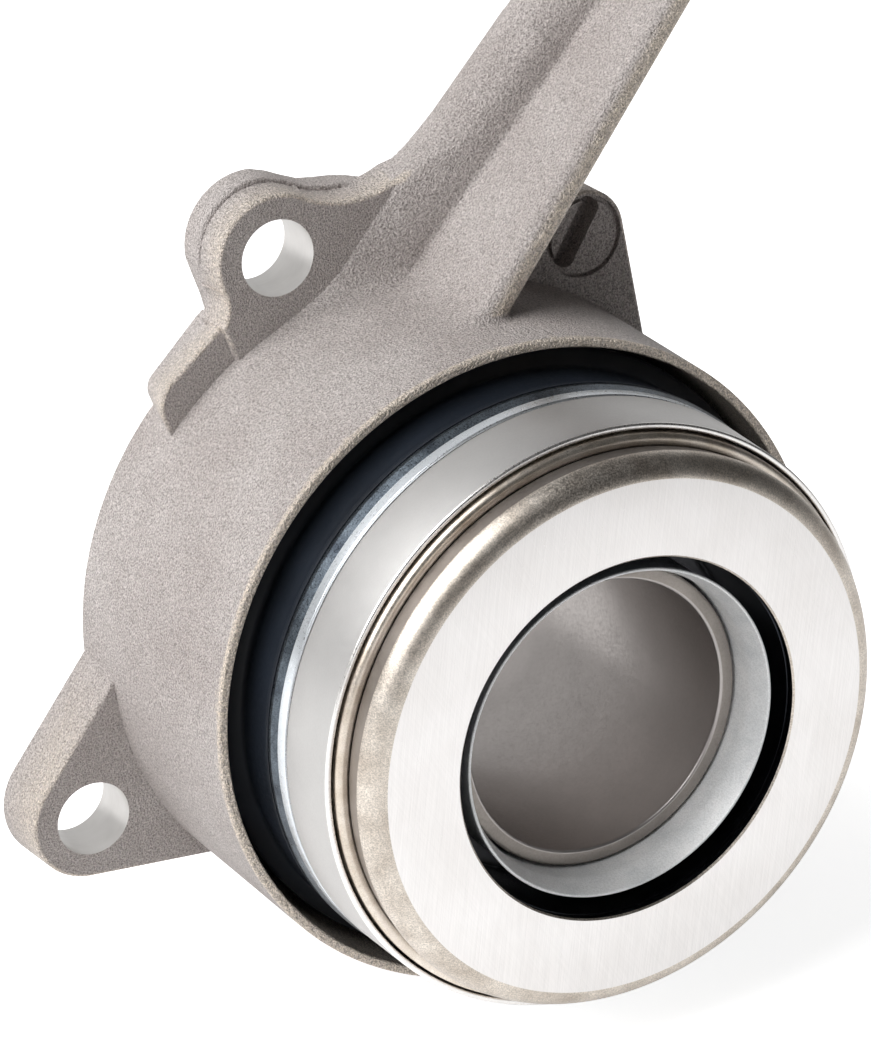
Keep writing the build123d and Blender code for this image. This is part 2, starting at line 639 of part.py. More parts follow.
# Contact ring: the turning inner ring, whose front face meets the clutch fingers
with BuildPart() as contact_ring:
    with BuildSketch(SECTION):
        with BuildLine():
            Polyline(
                (FACE_BORE_R, RING_BACK_H),
                (FACE_BORE_R, FACE_H - FACE_CHAMFER),
                (FACE_BORE_R + FACE_CHAMFER, FACE_H),
                (FACE_R, FACE_H),
            )
            ThreePointArc(
                (FACE_R, FACE_H),
                (FACE_R + FACE_EDGE_BULGE[0], FACE_H - FACE_EDGE_BULGE[1]),
                (FACE_EDGE_R, FACE_H - FACE_EDGE_DROP),
            )
            Polyline(
                (FACE_EDGE_R, FACE_H - FACE_EDGE_DROP),
                (FACE_EDGE_R, FACE_H - FACE_EDGE_DROP - 0.35),
                (FACE_SKIRT_R, FACE_H - FACE_EDGE_DROP - 0.75),
                (FACE_SKIRT_R, STEP_FACE_H + LABYRINTH_GAP),
                (FACE_SKIRT_R - FACE_SKIRT_WALL, STEP_FACE_H + LABYRINTH_GAP),
                (FACE_SKIRT_R - FACE_SKIRT_WALL, FACE_H - FACE_PLATE_T),
                (INNER_RACE_R, FACE_H - FACE_PLATE_T),
                (INNER_RACE_R, RING_BACK_H),
                (FACE_BORE_R, RING_BACK_H),
            )
        make_face()
        with Locations((BALL_PITCH_R, BALL_H)):
            Circle(GROOVE_R, mode=Mode.SUBTRACT)
    revolve(axis=Axis.Y)

contact_ring.part.label = "contact_ring"
export_step(contact_ring.part, "parts/contact_ring.step")


# Ball cage with a round pocket for each ball
with BuildPart() as bearing_cage:
    with BuildSketch(FRONT.offset(BALL_H - CAGE_T / 2)):
        Circle(BALL_PITCH_R + CAGE_WALL / 2)
        Circle(BALL_PITCH_R - CAGE_WALL / 2, mode=Mode.SUBTRACT)
    extrude(amount=CAGE_T)
    for number in range(BALL_COUNT):
        turn = 2 * pi * number / BALL_COUNT
        with BuildSketch(Plane(origin=(0, -BALL_H, 0), x_dir=(0, -1, 0), z_dir=(cos(turn), 0, sin(turn)))):
            Circle(BALL_R + POCKET_CLEARANCE)
        extrude(amount=BALL_PITCH_R + CAGE_WALL, mode=Mode.SUBTRACT)

bearing_cage.part.label = "bearing_cage"
export_step(bearing_cage.part, "parts/bearing_cage.step")


# Bearing balls
with BuildPart() as bearing_balls:
    with Locations(FRONT.offset(BALL_H)):
        with PolarLocations(BALL_PITCH_R, BALL_COUNT):
            Sphere(BALL_R)

bearing_balls.part.label = "bearing_balls"
export_step(bearing_balls.part, "parts/bearing_balls.step")


# Front seal of the bearing, resting on the outer ring's step
with BuildPart() as bearing_front_seal:
    with BuildSketch(FRONT.offset(STEP_FACE_H)):
        Circle(FACE_SKIRT_R - FACE_SKIRT_WALL - 2 * SEAL_GAP)
        Circle(INNER_RACE_R + SEAL_GAP, mode=Mode.SUBTRACT)
    extrude(amount=SEAL_T)

bearing_front_seal.part.label = "bearing_front_seal"
export_step(bearing_front_seal.part, "parts/bearing_front_seal.step")


# Rear seal of the bearing, held in the outer ring's bore
with BuildPart() as bearing_rear_seal:
    with BuildSketch(FRONT.offset(RING_BACK_H - SEAL_T / 2)):
        Circle(OUTER_RACE_R)
        Circle(INNER_RACE_R + SEAL_GAP, mode=Mode.SUBTRACT)
    extrude(amount=SEAL_T)

bearing_rear_seal.part.label = "bearing_rear_seal"
export_step(bearing_rear_seal.part, "parts/bearing_rear_seal.step")


# Disc spring that holds the outer ring against the carrier but lets it slide sideways
with BuildPart() as centring_spring:
    with BuildSketch(SECTION):
        with BuildLine():
            Polyline(
                (SLEEVE_R + SEAT_GAP, FLANGE_FRONT_H + SPRING_RISE),
                (CENTRING_SPRING_R, FLANGE_FRONT_H),
                (CENTRING_SPRING_R, FLANGE_FRONT_H + CENTRING_SPRING_T),
                (SLEEVE_R + SEAT_GAP, FLANGE_FRONT_H + SPRING_RISE + CENTRING_SPRING_T),
                close=True,
            )
        make_face()
    revolve(axis=Axis.Y)

centring_spring.part.label = "centring_spring"
export_step(centring_spring.part, "parts/centring_spring.step")


# Clip on the carrier's sleeve that loads the disc spring
with BuildPart() as centring_spring_clip:
    with BuildSketch(FRONT.offset(FLANGE_FRONT_H + SPRING_RISE + CENTRING_SPRING_T)):
        Circle(CLIP_R)
        Circle(SLEEVE_R, mode=Mode.SUBTRACT)
    extrude(amount=CLIP_T)

centring_spring_clip.part.label = "centring_spring_clip"
export_step(centring_spring_clip.part, "parts/centring_spring_clip.step")


# Seat washer under the preload spring
with BuildPart() as spring_seat:
    with BuildSketch(FRONT.offset(SPRING_FLOOR_H)):
        Circle(SPRING_R + SPRING_WIRE_R + 0.4)
        Circle(SPRING_R - SPRING_WIRE_R - 0.4, mode=Mode.SUBTRACT)
    extrude(amount=SEAT_WASHER_T)

spring_seat.part.label = "spring_seat"
export_step(spring_seat.part, "parts/spring_seat.step")


# Preload spring, from the seat washer to the carrier
with BuildPart() as preload_spring:
    with BuildLine():
        coil = Helix(
            SPRING_PITCH,
            SPRING_COIL_LENGTH,
            SPRING_R,
            center=(0, -SEAT_H - SEAT_GAP - SPRING_WIRE_R, 0),
            direction=(0, -1, 0),
        )
    with BuildSketch(Plane(origin=coil @ 0, z_dir=coil % 0)):
        Circle(SPRING_WIRE_R)
    sweep(path=coil, is_frenet=True)

preload_spring.part.label = "preload_spring"
export_step(preload_spring.part, "parts/preload_spring.step")


# Dust boot: a pleated sleeve between the housing's floor and the carrier
with BuildPart() as dust_boot:
    with BuildSketch(SECTION):
        with BuildLine():
            Polyline(
                (BOOT_INNER_R, SPRING_FLOOR_H),
                (BOOT_OUTER_R, SPRING_FLOOR_H),
                (BOOT_OUTER_R, SPRING_FLOOR_H + BOOT_COLLAR_T),
                *boot_folds(BOOT_INNER_R + BOOT_WALL, BOOT_OUTER_R),
                (CARRIER_RIM_R + CARRIER_BEAD, CARRIER_BACK_H - BOOT_COLLAR_T),
                (CARRIER_RIM_R + CARRIER_BEAD, CARRIER_BACK_H),
                (BOOT_INNER_R, CARRIER_BACK_H),
                *reversed(boot_folds(BOOT_INNER_R, BOOT_OUTER_R - BOOT_WALL)),
                close=True,
            )
        make_face()
    revolve(axis=Axis.Y)

dust_boot.part.label = "dust_boot"
export_step(dust_boot.part, "parts/dust_boot.step")


# Bleed screw, closed on its seat
with BuildPart() as bleed_screw:
    with BuildSketch(BLEED_SIDE):
        with BuildLine():
            Polyline(
                (0, BLEED_SEAT),
                (BLEED_DRILL_R, BLEED_SEAT),
                (BLEED_THREAD_R, BLEED_SEAT + 1.5 * (BLEED_THREAD_R - BLEED_DRILL_R)),
                (BLEED_THREAD_R, HEX_START),
                (NIPPLE_R, HEX_START),
                (NIPPLE_R, HEX_START + BLEED_HEX_T + 3),
                (NIPPLE_R + 0.5, HEX_START + BLEED_HEX_T + 3),
                (NIPPLE_R - 0.5, NIPPLE_END),
                (0, NIPPLE_END),
                close=True,
            )
        make_face()
    revolve(axis=BLEED_AXIS)
    with BuildSketch(BLEED_END.offset(HEX_START)):
        RegularPolygon(BLEED_HEX / 2, 6, major_radius=False)
    extrude(amount=BLEED_HEX_T)
    with BuildSketch(BLEED_END.offset(NIPPLE_END)):
        Circle(NIPPLE_BORE_R)
    extrude(amount=-(NIPPLE_END - BLEED_SEAT - 6), mode=Mode.SUBTRACT)

bleed_screw.part.label = "bleed_screw"
export_step(bleed_screw.part, "parts/bleed_screw.step")


# Rubber cap over the bleed screw's nipple
with BuildPart() as bleed_cap:
    with BuildSketch(BLEED_SIDE):
        with BuildLine():
            Polyline(
                (NIPPLE_R, HEX_START + BLEED_HEX_T),
                (CAP_R, HEX_START + BLEED_HEX_T),
                (CAP_R, NIPPLE_END + CAP_WALL - 0.6),
                (CAP_R - 0.6, NIPPLE_END + CAP_WALL),
                (0, NIPPLE_END + CAP_WALL),
                (0, NIPPLE_END),
                (NIPPLE_R - 0.5, NIPPLE_END),
                (NIPPLE_R + 0.5, HEX_START + BLEED_HEX_T + 3),
                (NIPPLE_R, HEX_START + BLEED_HEX_T + 3),
                close=True,
            )
        make_face()
    revolve(axis=BLEED_AXIS)

bleed_cap.part.label = "bleed_cap"
export_step(bleed_cap.part, "parts/bleed_cap.step")
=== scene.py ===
import math

import bmesh
import bpy
import numpy as np
import openvdb
from mathutils import Matrix, Vector


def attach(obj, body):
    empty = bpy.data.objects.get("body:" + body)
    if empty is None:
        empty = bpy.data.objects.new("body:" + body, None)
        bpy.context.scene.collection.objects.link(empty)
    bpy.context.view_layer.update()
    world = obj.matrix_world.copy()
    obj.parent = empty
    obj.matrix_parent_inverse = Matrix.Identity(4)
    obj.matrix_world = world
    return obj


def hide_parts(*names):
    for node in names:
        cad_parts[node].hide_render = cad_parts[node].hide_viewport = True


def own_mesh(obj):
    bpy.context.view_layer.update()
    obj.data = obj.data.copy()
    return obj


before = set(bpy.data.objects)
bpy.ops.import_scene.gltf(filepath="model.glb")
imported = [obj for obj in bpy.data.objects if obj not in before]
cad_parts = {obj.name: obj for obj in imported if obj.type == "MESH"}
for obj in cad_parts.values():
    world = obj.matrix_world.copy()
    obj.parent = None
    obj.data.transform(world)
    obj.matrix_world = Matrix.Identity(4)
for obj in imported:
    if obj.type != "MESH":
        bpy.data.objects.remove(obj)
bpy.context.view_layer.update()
MM = 0.001

# Sizes in millimetres, most of them shared with the part's source. Heights run forward (-Y) from the mounting face.
SKIRT_FOOT_R, SKIRT_RIM_R, SKIRT_BORE_R, RIM_H = 39.6, 38.7, 37.6, 33.5
SPRING_FLOOR_H, CHAMBER_R, CHAMBER_FLOOR_H, BOSS_R, BOSS_H = 8.8, 25.1, 3.5, 29.0, 25.9
FLANGE_SEAT_R, FLANGE_SEAT_H, TUBE_SEAT_R = 21.05, 1.2, 17.8
SEAL_GROOVE_IN_R, SEAL_GROOVE_OUT_R, SEAL_GROOVE_DEPTH = 31.25, 33.35, 2.0
BOLT_CIRCLE_R, BOLT_HOLE_R, LUG_TIP_R, LUG_H, STEP_H, LUG_SPREAD = 47.0, 4.5, 7.4, 7.5, 6.8, 24.0
LUG_ANGLES = {"lower": 205.5, "upper": 111.8, "side": 339.0}
REAR_FLANGE_H, PAD_FLARE = 3.6, 1.7
DISC_ANGLE, DISC_CIRCLE_R, BLIND_BOSS_R, BLIND_BOSS_H, DISC_R = 64.2, 45.9, 5.5, 11.8, 4.4
DISC_GROOVE_DEPTH, DISC_GROOVE_FLOOR, DISC_GROOVE_MOUTH, DISC_BULGE = 0.55, 0.45, 0.7, 0.15
SLOT_CENTRE, SLOT_ANGLE, SLOT_LENGTH, SLOT_DEPTH = (19.0, 42.0), 60.5, 8.8, 2.4
SLOT_HALF_WIDTH, SLOT_ROUNDING = 1.3, 0.9
ARM_ANGLE, ARM_OFFSET, RIDGE_R, RIDGE_H, ARM_LENGTH = 51.0, 24.6, 6.5, 6.6, 104.0
ARM_COS, ARM_SIN = math.cos(math.radians(ARM_ANGLE)), math.sin(math.radians(ARM_ANGLE))
ARM_START, ARM_BACK_H = 12.0, 0.25
WEB_WALL, WEB_FOOT_H, WEB_START, WEB_END_H, WEB_LENGTH, WEB_TAIL = 3.8, 26.2, 32.5, 22.0, 78.0, 9.0
INLET_BOSS_R, INLET_BOSS_LENGTH, INLET_R, INLET_DEPTH = 8.5, 16.0, 5.5, 12.0
BLEED_ALONG, BLEED_BOSS_R, BLEED_REACH, BLEED_R, BLEED_DEPTH = 82.0, 6.5, 13.0, 4.05, 7.0
DRAFT = -0.08
VOXEL, QUICK_VOXEL, CASTING_TRIANGLES = 0.5, 0.9, 150000
# The arm's root: heights of the line where its wall meets its top, by the distance along the arm, and the top's slope
ROOT_ALONG, ROOT_EDGE_H, ROOT_END = (35, 40, 47, 56, 62), (9.4, 9.8, 10.1, 10.9, 11.4), 60
ROOT_EDGE_ACROSS, ROOT_WALL_ACROSS, ROOT_SLOPE, ROOT_SLOPE_COS, ROOT_LOW_H = 1.9, 8.75, 0.27, 0.965, 3.4
# Bearing and its carrier: the carrier's flange lies between two heights, and the races have grooves for the balls
FLANGE_BACK_H, FLANGE_FRONT_H = 37.6, 38.6
RACE_FRONT_H, RACE_BACK_H = 47.3, 43.9
GROOVE_FRONT_H, GROOVE_BACK_H = 46.1, 45.1
BEAD_R, BEAD_CENTRE = 2.97, (29.484, 52.675)
# Parting line of the casting: its height, how far it wanders and how thin it is
SEAM_H, SEAM_WANDER, SEAM_HALF_WIDTH = 3.1, 1.6, 0.12


def on_circle(radius, degrees):
    """Point (x, z) at a radius and angle round the bore axis."""
    return (radius * math.cos(math.radians(degrees)), radius * math.sin(math.radians(degrees)))


def arm_point(along, across):
    """Point (x, z) along the arm and across it from the bore axis."""
    return (along * ARM_COS - across * ARM_SIN, along * ARM_SIN + across * ARM_COS)


def arm_place(px, pz):
    """Distances along the arm and across it from its own axis, for points (x, z)."""
    return px * ARM_COS + pz * ARM_SIN, -px * ARM_SIN + pz * ARM_COS - ARM_OFFSET


def in_scene(name, data):
    """A new object in the scene."""
    obj = bpy.data.objects.new(name, data)
    bpy.context.scene.collection.objects.link(obj)
    return obj


# Meshes
def new_object(name, vertices, faces, body, node=None, smooth_angle=35):
    """A mesh object made from points in millimetres (x, y, z), riding on a body."""
    mesh = bpy.data.meshes.new(name)
    mesh.from_pydata((np.asarray(vertices, float) * MM).tolist(), [], [list(f) for f in faces])
    mesh.validate()
    mesh.update()
    obj = in_scene(name, mesh)
    shade(obj, smooth_angle)
    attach(obj, body)
    if node:
        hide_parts(node)
    return obj


def shade(obj, angle):
    """Smooth shading with sharp edges above an angle."""
    obj.data.polygons.foreach_set("use_smooth", [True] * len(obj.data.polygons))
    obj.data.set_sharp_from_angle(angle=math.radians(angle))


def rounded(corners, steps=5):
    """Closed profile from corners (r, h, fillet radius, label). Each point of the result carries its label."""
    out = []
    count = len(corners)
    for i, corner in enumerate(corners):
        point = Vector(corner[:2])
        radius = corner[2] if len(corner) > 2 else 0
        label = corner[3] if len(corner) > 3 else 0
        before = Vector(corners[i - 1][:2]) - point
        after = Vector(corners[(i + 1) % count][:2]) - point
        if radius <= 0 or before.length < 1e-6 or after.length < 1e-6:
            out.append((point.x, point.y, label))
            continue
        before_n, after_n = before.normalized(), after.normalized()
        half = math.acos(max(-1, min(1, before_n.dot(after_n)))) / 2
        reach = min(radius / math.tan(half), before.length * 0.49, after.length * 0.49)
        radius = reach * math.tan(half)
        start, end = point + before_n * reach, point + after_n * reach
        centre = point + (before_n + after_n).normalized() * (radius / math.sin(half))
        a0 = math.atan2(start.y - centre.y, start.x - centre.x)
        a1 = math.atan2(end.y - centre.y, end.x - centre.x)
        turn = (a1 - a0 + math.pi) % (2 * math.pi) - math.pi
        for k in range(steps + 1):
            a = a0 + turn * k / steps
            out.append((centre.x + radius * math.cos(a), centre.y + radius * math.sin(a), label))
    return out


def lathe(
    name, corners, body, node=None, segments=192, origin=(0, 0, 0), axis=(0, -1, 0), side=(1, 0, 0), smooth_angle=30
):
    """Solid of revolution of a closed profile (r, h) about an axis. Labels become material slots."""
    profile = rounded(corners)
    axis, side = Vector(axis).normalized(), Vector(side).normalized()
    other = axis.cross(side)
    n = len(profile)
    vertices, faces, labels = [], [], []
    for k in range(segments):
        a = 2 * math.pi * k / segments
        way = side * math.cos(a) + other * math.sin(a)
        for r, h, _ in profile:
            p = Vector(origin) + way * max(r, 0.002) + axis * h
            vertices.append(p[:])
    for k in range(segments):
        k2 = (k + 1) % segments
        for i in range(n):
            j = (i + 1) % n
            faces.append((k * n + i, k * n + j, k2 * n + j, k2 * n + i))
            labels.append(profile[i][2])
    obj = new_object(name, vertices, faces, body, node, smooth_angle)
    obj.data.polygons.foreach_set("material_index", labels)
    fix_normals(obj)
    return obj


def fix_normals(obj):
    """Turns all faces outward."""
    bm = bmesh.new()
    bm.from_mesh(obj.data)
    bmesh.ops.recalc_face_normals(bm, faces=bm.faces)
    bm.to_mesh(obj.data)
    bm.free()


def thin_out(obj, triangles):
    """Merges the flattest faces until about this many triangles are left."""
    count = sum(len(p.vertices) - 2 for p in obj.data.polygons)
    if count <= triangles:
        return
    obj.modifiers.new("thin", "DECIMATE").ratio = triangles / count
    applied(obj)


def applied(obj):
    """Gives an object the mesh that its modifiers make."""
    result = bpy.data.meshes.new_from_object(obj.evaluated_get(bpy.context.evaluated_depsgraph_get()))
    obj.modifiers.clear()
    obj.data = result


def combine(obj, other, operation):
    """Joins one closed mesh with another, or takes it away, and removes the other."""
    modifier = obj.modifiers.new("combine", "BOOLEAN")
    modifier.operation = operation
    modifier.solver = "MANIFOLD"
    modifier.material_mode = "TRANSFER"
    modifier.object = other
    applied(obj)
    bpy.data.objects.remove(other)


def cut(obj, cutter, *materials):
    """Takes a closed form away. The new faces have the materials of its labels."""
    combine(obj, dress(cutter, *materials), "DIFFERENCE")


def turned_cut(obj, profile, segments, *materials, **place):
    """Takes a turned form away."""
    cut(obj, lathe("cutter", profile, "housing", segments=segments, **place), *materials)


def join(obj, other):
    """Adds a cast form."""
    combine(obj, dress(other, CASTING), "UNION")


# Materials
class Tree:
    """Short calls for building one node tree."""

    def __init__(self, owner, output="ShaderNodeOutputMaterial"):
        owner.use_nodes = True
        self.tree = owner.node_tree
        self.tree.nodes.clear()
        self.output = self.add(output)

    def add(self, kind, **values):
        """A node with the given settings. A name that isn't a setting of the node is an input."""
        node = self.tree.nodes.new(kind)
        for key, value in values.items():
            if hasattr(node, key):
                setattr(node, key, value)
            else:
                node.inputs[key.replace("_", " ")].default_value = value
        return node

    def link(self, a, out, b, into):
        self.tree.links.new(a.outputs[out], b.inputs[into])


class Finish(Tree):
    """A new material with one principled shader."""

    def __init__(self, name):
        self.material = bpy.data.materials.new(name)
        super().__init__(self.material)
        self.shader = self.add("ShaderNodeBsdfPrincipled")
        self.link(self.shader, "BSDF", self.output, "Surface")
        self.place = self.add("ShaderNodeTexCoord")

    def noise(self, size, detail=4, roughness=0.55, stretch=(1, 1, 1), rotation=(0, 0, 0)):
        """Noise whose features are about size millimetres across, times the stretch along turned axes."""
        where = self.add("ShaderNodeMapping", vector_type="TEXTURE")
        where.inputs["Scale"].default_value = tuple(size * s * MM for s in stretch)
        where.inputs["Rotation"].default_value = rotation
        self.link(self.place, "Object", where, "Vector")
        node = self.add("ShaderNodeTexNoise", Detail=detail, Roughness=roughness, Scale=1.0)
        self.link(where, "Vector", node, "Vector")
        return node

    def ramp(self, source, stops, out="Fac"):
        """Colours by the value of a node, from two stops (value, colour)."""
        node = self.add("ShaderNodeValToRGB")
        for element, (position, colour) in zip(node.color_ramp.elements, stops):
            element.position = position
            element.color = (*colour, 1)
        self.link(source, out, node, "Fac")
        return node

    def value_range(self, source, out, low, high, from_low=0.3, from_high=0.7):
        """Values from low to high, by the value of a node."""
        node = self.add("ShaderNodeMapRange", From_Min=from_low, From_Max=from_high, To_Min=low, To_Max=high)
        self.link(source, out, node, "Value")
        return node

    def bump(self, source, out, strength, distance_mm, below=None):
        """Bump by the value of a node, on top of another bump."""
        node = self.add("ShaderNodeBump", Strength=strength, Distance=distance_mm * MM)
        self.link(source, out, node, "Height")
        if below:
            self.link(below, "Normal", node, "Normal")
        return node

    def multiply(self, a, out, b, factor=1.0):
        """A colour of one node times the colour of another."""
        node = self.add("ShaderNodeMix", data_type="RGBA", blend_type="MULTIPLY")
        node.inputs[0].default_value = factor
        self.link(a, out, node, 6)
        self.link(b, "Color", node, 7)
        return node

    def surface(self, colour, out, roughness, bump):
        """Feeds the shader and gives the finished material."""
        self.link(colour, out, self.shader, "Base Color")
        self.link(roughness, "Result", self.shader, "Roughness")
        self.link(bump, "Normal", self.shader, "Normal")
        return self.material


def tone(colour, factor):
    """A colour made darker or lighter."""
    return tuple(min(1, c * factor) for c in colour)


def metal(name, colour, roughness, variation=0.06, grain=0.4, grain_bump=0.05, stretch=(1, 1, 1)):
    """Metal with slight mottling, fine grain and uneven roughness."""
    m = Finish(name)
    broad = m.noise(6, 3)
    fine = m.noise(grain, 5, stretch=stretch)
    colours = m.ramp(broad, [(0.3, tone(colour, 1 - variation)), (0.7, tone(colour, 1 + variation))])
    uneven = m.value_range(fine, "Fac", roughness * 0.8, roughness * 1.25)
    m.shader.inputs["Metallic"].default_value = 1.0
    return m.surface(colours, "Color", uneven, m.bump(fine, "Fac", 0.5, grain_bump))


def mottled(name, dark, light, roughness, speckle=0.12, grain_bump=0.02, metallic=1.0):
    """Metal whose tint or plating comes and goes between two colours, with fine specks."""
    m = Finish(name)
    broad = m.noise(3.5, 4, 0.6)
    fine = m.noise(0.16, 4, 0.6, stretch=(1, 1.6, 1))
    colours = m.ramp(broad, [(0.28, dark), (0.72, light)])
    speck = m.ramp(fine, [(0.35, (1 - speckle,) * 3), (0.65, (1 + speckle,) * 3)])
    uneven = m.value_range(fine, "Fac", roughness * 0.8, roughness * 1.3)
    m.shader.inputs["Metallic"].default_value = metallic
    return m.surface(m.multiply(colours, "Color", speck), 2, uneven, m.bump(fine, "Fac", 0.5, grain_bump))


def rubber(name, colour, roughness):
    """Moulded rubber or plastic."""
    m = Finish(name)
    fine = m.noise(0.5, 4)
    broad = m.noise(8, 2)
    colours = m.ramp(broad, [(0.3, tone(colour, 0.8)), (0.7, tone(colour, 1.25))])
    uneven = m.value_range(fine, "Fac", roughness * 0.85, roughness * 1.2)
    return m.surface(colours, "Color", uneven, m.bump(fine, "Fac", 0.3, 0.02))


def casting_material():
    """Blasted aluminium casting: warm grey sandy grain, a parting line round it and brighter edges, partly real wear
    and partly a painted highlight.
    """
    m = Finish("cast_aluminium")
    sand = m.noise(0.22, 2, 0.6)
    coarse = m.noise(0.6, 3, 0.6)
    broad = m.noise(14, 4, 0.55)
    base = m.ramp(broad, [(0.25, (0.43, 0.385, 0.365)), (0.75, (0.54, 0.50, 0.48))])
    speck = m.ramp(sand, [(0.32, (0.56, 0.55, 0.54)), (0.68, (1.44, 1.44, 1.46))])

    wear_and_highlight = m.add("ShaderNodeAttribute", attribute_name="wear_and_highlight")
    patchy = m.value_range(coarse, "Fac", 0.45, 1.2)
    edge = m.add("ShaderNodeMath", operation="MULTIPLY", use_clamp=True)
    m.link(wear_and_highlight, "Fac", edge, 0)
    m.link(patchy, "Result", edge, 1)
    # Brighter colour on the marked edges: partly real wear, partly a painted highlight.
    colour = m.add("ShaderNodeMix", data_type="RGBA")
    m.link(edge, 0, colour, 0)
    m.link(base, "Color", colour, 6)
    colour.inputs[7].default_value = (0.70, 0.62, 0.53, 1)
    bright = m.value_range(edge, 0, 0.2, 0.85, 0.0, 1.0)
    smooth = m.value_range(edge, 0, 0.62, 0.42, 0.0, 1.0)

    parts = m.add("ShaderNodeSeparateXYZ")
    m.link(m.place, "Object", parts, "Vector")
    wander = m.add("ShaderNodeMath", operation="MULTIPLY_ADD")
    m.link(broad, "Fac", wander, 0)
    wander.inputs[1].default_value = SEAM_WANDER * MM
    m.link(parts, "Y", wander, 2)
    line = m.add("ShaderNodeMath", operation="COMPARE")
    m.link(wander, 0, line, 0)
    line.inputs[1].default_value = -SEAM_H * MM
    line.inputs[2].default_value = SEAM_HALF_WIDTH * MM
    seam = m.bump(line, 0, 0.9, -0.2, m.bump(coarse, "Fac", 0.6, 0.5))
    m.link(bright, "Result", m.shader, "Metallic")
    m.shader.inputs["Specular IOR Level"].default_value = 0.35
    return m.surface(m.multiply(colour, 2, speck), 2, smooth, m.bump(sand, "Fac", 1.0, 0.36, seam))


def machined_material():
    """Drilled and turned aluminium, with fine tool marks."""
    m = Finish("machined_aluminium")
    marks = m.noise(0.25, 4, 0.6, stretch=(12, 1, 12))
    broad = m.noise(5, 3)
    colours = m.ramp(broad, [(0.3, (0.62, 0.60, 0.58)), (0.7, (0.72, 0.70, 0.68))])
    m.shader.inputs["Metallic"].default_value = 0.9
    return m.surface(colours, "Color", m.value_range(marks, "Fac", 0.28, 0.42), m.bump(marks, "Fac", 0.4, 0.03))


def face_material():
    """Finish-ground bearing face: near white, with fine crossing scratches."""
    m = Finish("ground_face")
    first = m.noise(0.12, 3, 0.65, stretch=(1, 1, 60), rotation=(0, 0.1, 0))
    second = m.noise(0.15, 3, 0.65, stretch=(1, 1, 50), rotation=(0, -0.55, 0))
    broad = m.noise(9, 3)
    lines = m.add("ShaderNodeMix", data_type="FLOAT")
    lines.inputs[0].default_value = 0.3
    m.link(first, "Fac", lines, 2)
    m.link(second, "Fac", lines, 3)
    colours = m.ramp(broad, [(0.3, (0.84, 0.815, 0.80)), (0.7, (0.89, 0.87, 0.86))])
    fade = m.ramp(lines, [(0.3, (0.8,) * 3), (0.62, (1.1,) * 3)], 0)
    m.shader.inputs["Metallic"].default_value = 1.0
    marked = m.multiply(colours, "Color", fade, 0.5)
    return m.surface(marked, 2, m.value_range(lines, 0, 0.26, 0.4), m.bump(lines, 0, 0.3, 0.01))


CASTING = casting_material()
MACHINED = machined_material()
GROUND_FACE = face_material()
STRAW = mottled("straw_steel", (0.60, 0.515, 0.42), (0.90, 0.83, 0.75), 0.34)
BEAD = mottled("turned_bead", (0.50, 0.44, 0.38), (0.76, 0.70, 0.63), 0.38, 0.3, 0.04)
# Side band of the contact ring: a different turned surface, made darker partly as painted shade under the bead.
SIDE_AND_SHADE = mottled("turned_side_and_shade", (0.36, 0.33, 0.31), (0.46, 0.43, 0.41), 0.4, 0.08)
RECESS = metal("recess_steel", (0.33, 0.31, 0.30), 0.35)
# Nearly black bore: painted shade of the narrow gap between the contact ring and the sleeve.
BORE_SHADE = metal("bore_painted_shade", (0.035, 0.038, 0.045), 0.22, variation=0.3, grain=0.3, grain_bump=0.01)
SHELL = metal("satin_sheet", (0.58, 0.57, 0.56), 0.44, 0.03, grain=0.14, grain_bump=0.008, stretch=(2, 1, 2))
ZINC = metal("zinc_plate", (0.78, 0.82, 0.86), 0.3, variation=0.12, grain=0.35, grain_bump=0.02)
# Dark blue-grey copy of the carrier's zinc for its back and outer rim: painted shade of the gap under the skirt's rim.
ZINC_SHADE = mottled("zinc_plate_painted_shade", (0.05, 0.06, 0.075), (0.16, 0.19, 0.22), 0.3, 0.4, 0.04)
# Near-white steel for the shell's rolled front edge: a painted highlight.
SHELL_EDGE_HIGHLIGHT = metal("shell_edge_painted_highlight", (0.92, 0.90, 0.88), 0.3, variation=0.05, grain=0.3, grain_bump=0.01)
# Sleeve: the carrier's zinc made near white and mostly diffuse, as painted light in the bore's shade.
SLEEVE_LIT = mottled("sleeve_zinc_painted_light", (0.80, 0.82, 0.83), (1.0, 1.0, 1.0), 0.36, 0.1, 0.06, metallic=0.25)
TUBE = metal("guide_tube_steel", (0.44, 0.41, 0.395), 0.38, variation=0.05, grain=0.4, grain_bump=0.01)
TUBE_END = metal("guide_tube_end", (0.34, 0.31, 0.285), 0.5, variation=0.12, grain=0.25, grain_bump=0.04)
DARK_STEEL = metal("dark_steel", (0.16, 0.16, 0.17), 0.4)
PLAIN_STEEL = metal("bright_steel", (0.55, 0.55, 0.54), 0.3)
BALL_STEEL = metal("ball_steel", (0.75, 0.75, 0.76), 0.12, variation=0.02)
BLACK_RUBBER = rubber("black_rubber", (0.018, 0.018, 0.02), 0.45)
BOOT_RUBBER = rubber("boot_rubber", (0.010, 0.0135, 0.020), 0.36)
DARK_PLASTIC = rubber("dark_plastic", (0.06, 0.06, 0.065), 0.4)
CAGE_PLASTIC = rubber("cage_plastic", (0.04, 0.07, 0.045), 0.35)
WHITE_PLASTIC = rubber("guide_ring_plastic", (0.55, 0.52, 0.45), 0.4)


def dress(obj, *materials):
    """Puts materials on an object, in the order of the labels of its faces."""
    labels = [0] * len(obj.data.polygons)
    obj.data.polygons.foreach_get("material_index", labels)
    obj.data.materials.clear()
    for material in materials:
        obj.data.materials.append(material)
    if len(materials) > 1:
        obj.data.polygons.foreach_set("material_index", labels)
    return obj


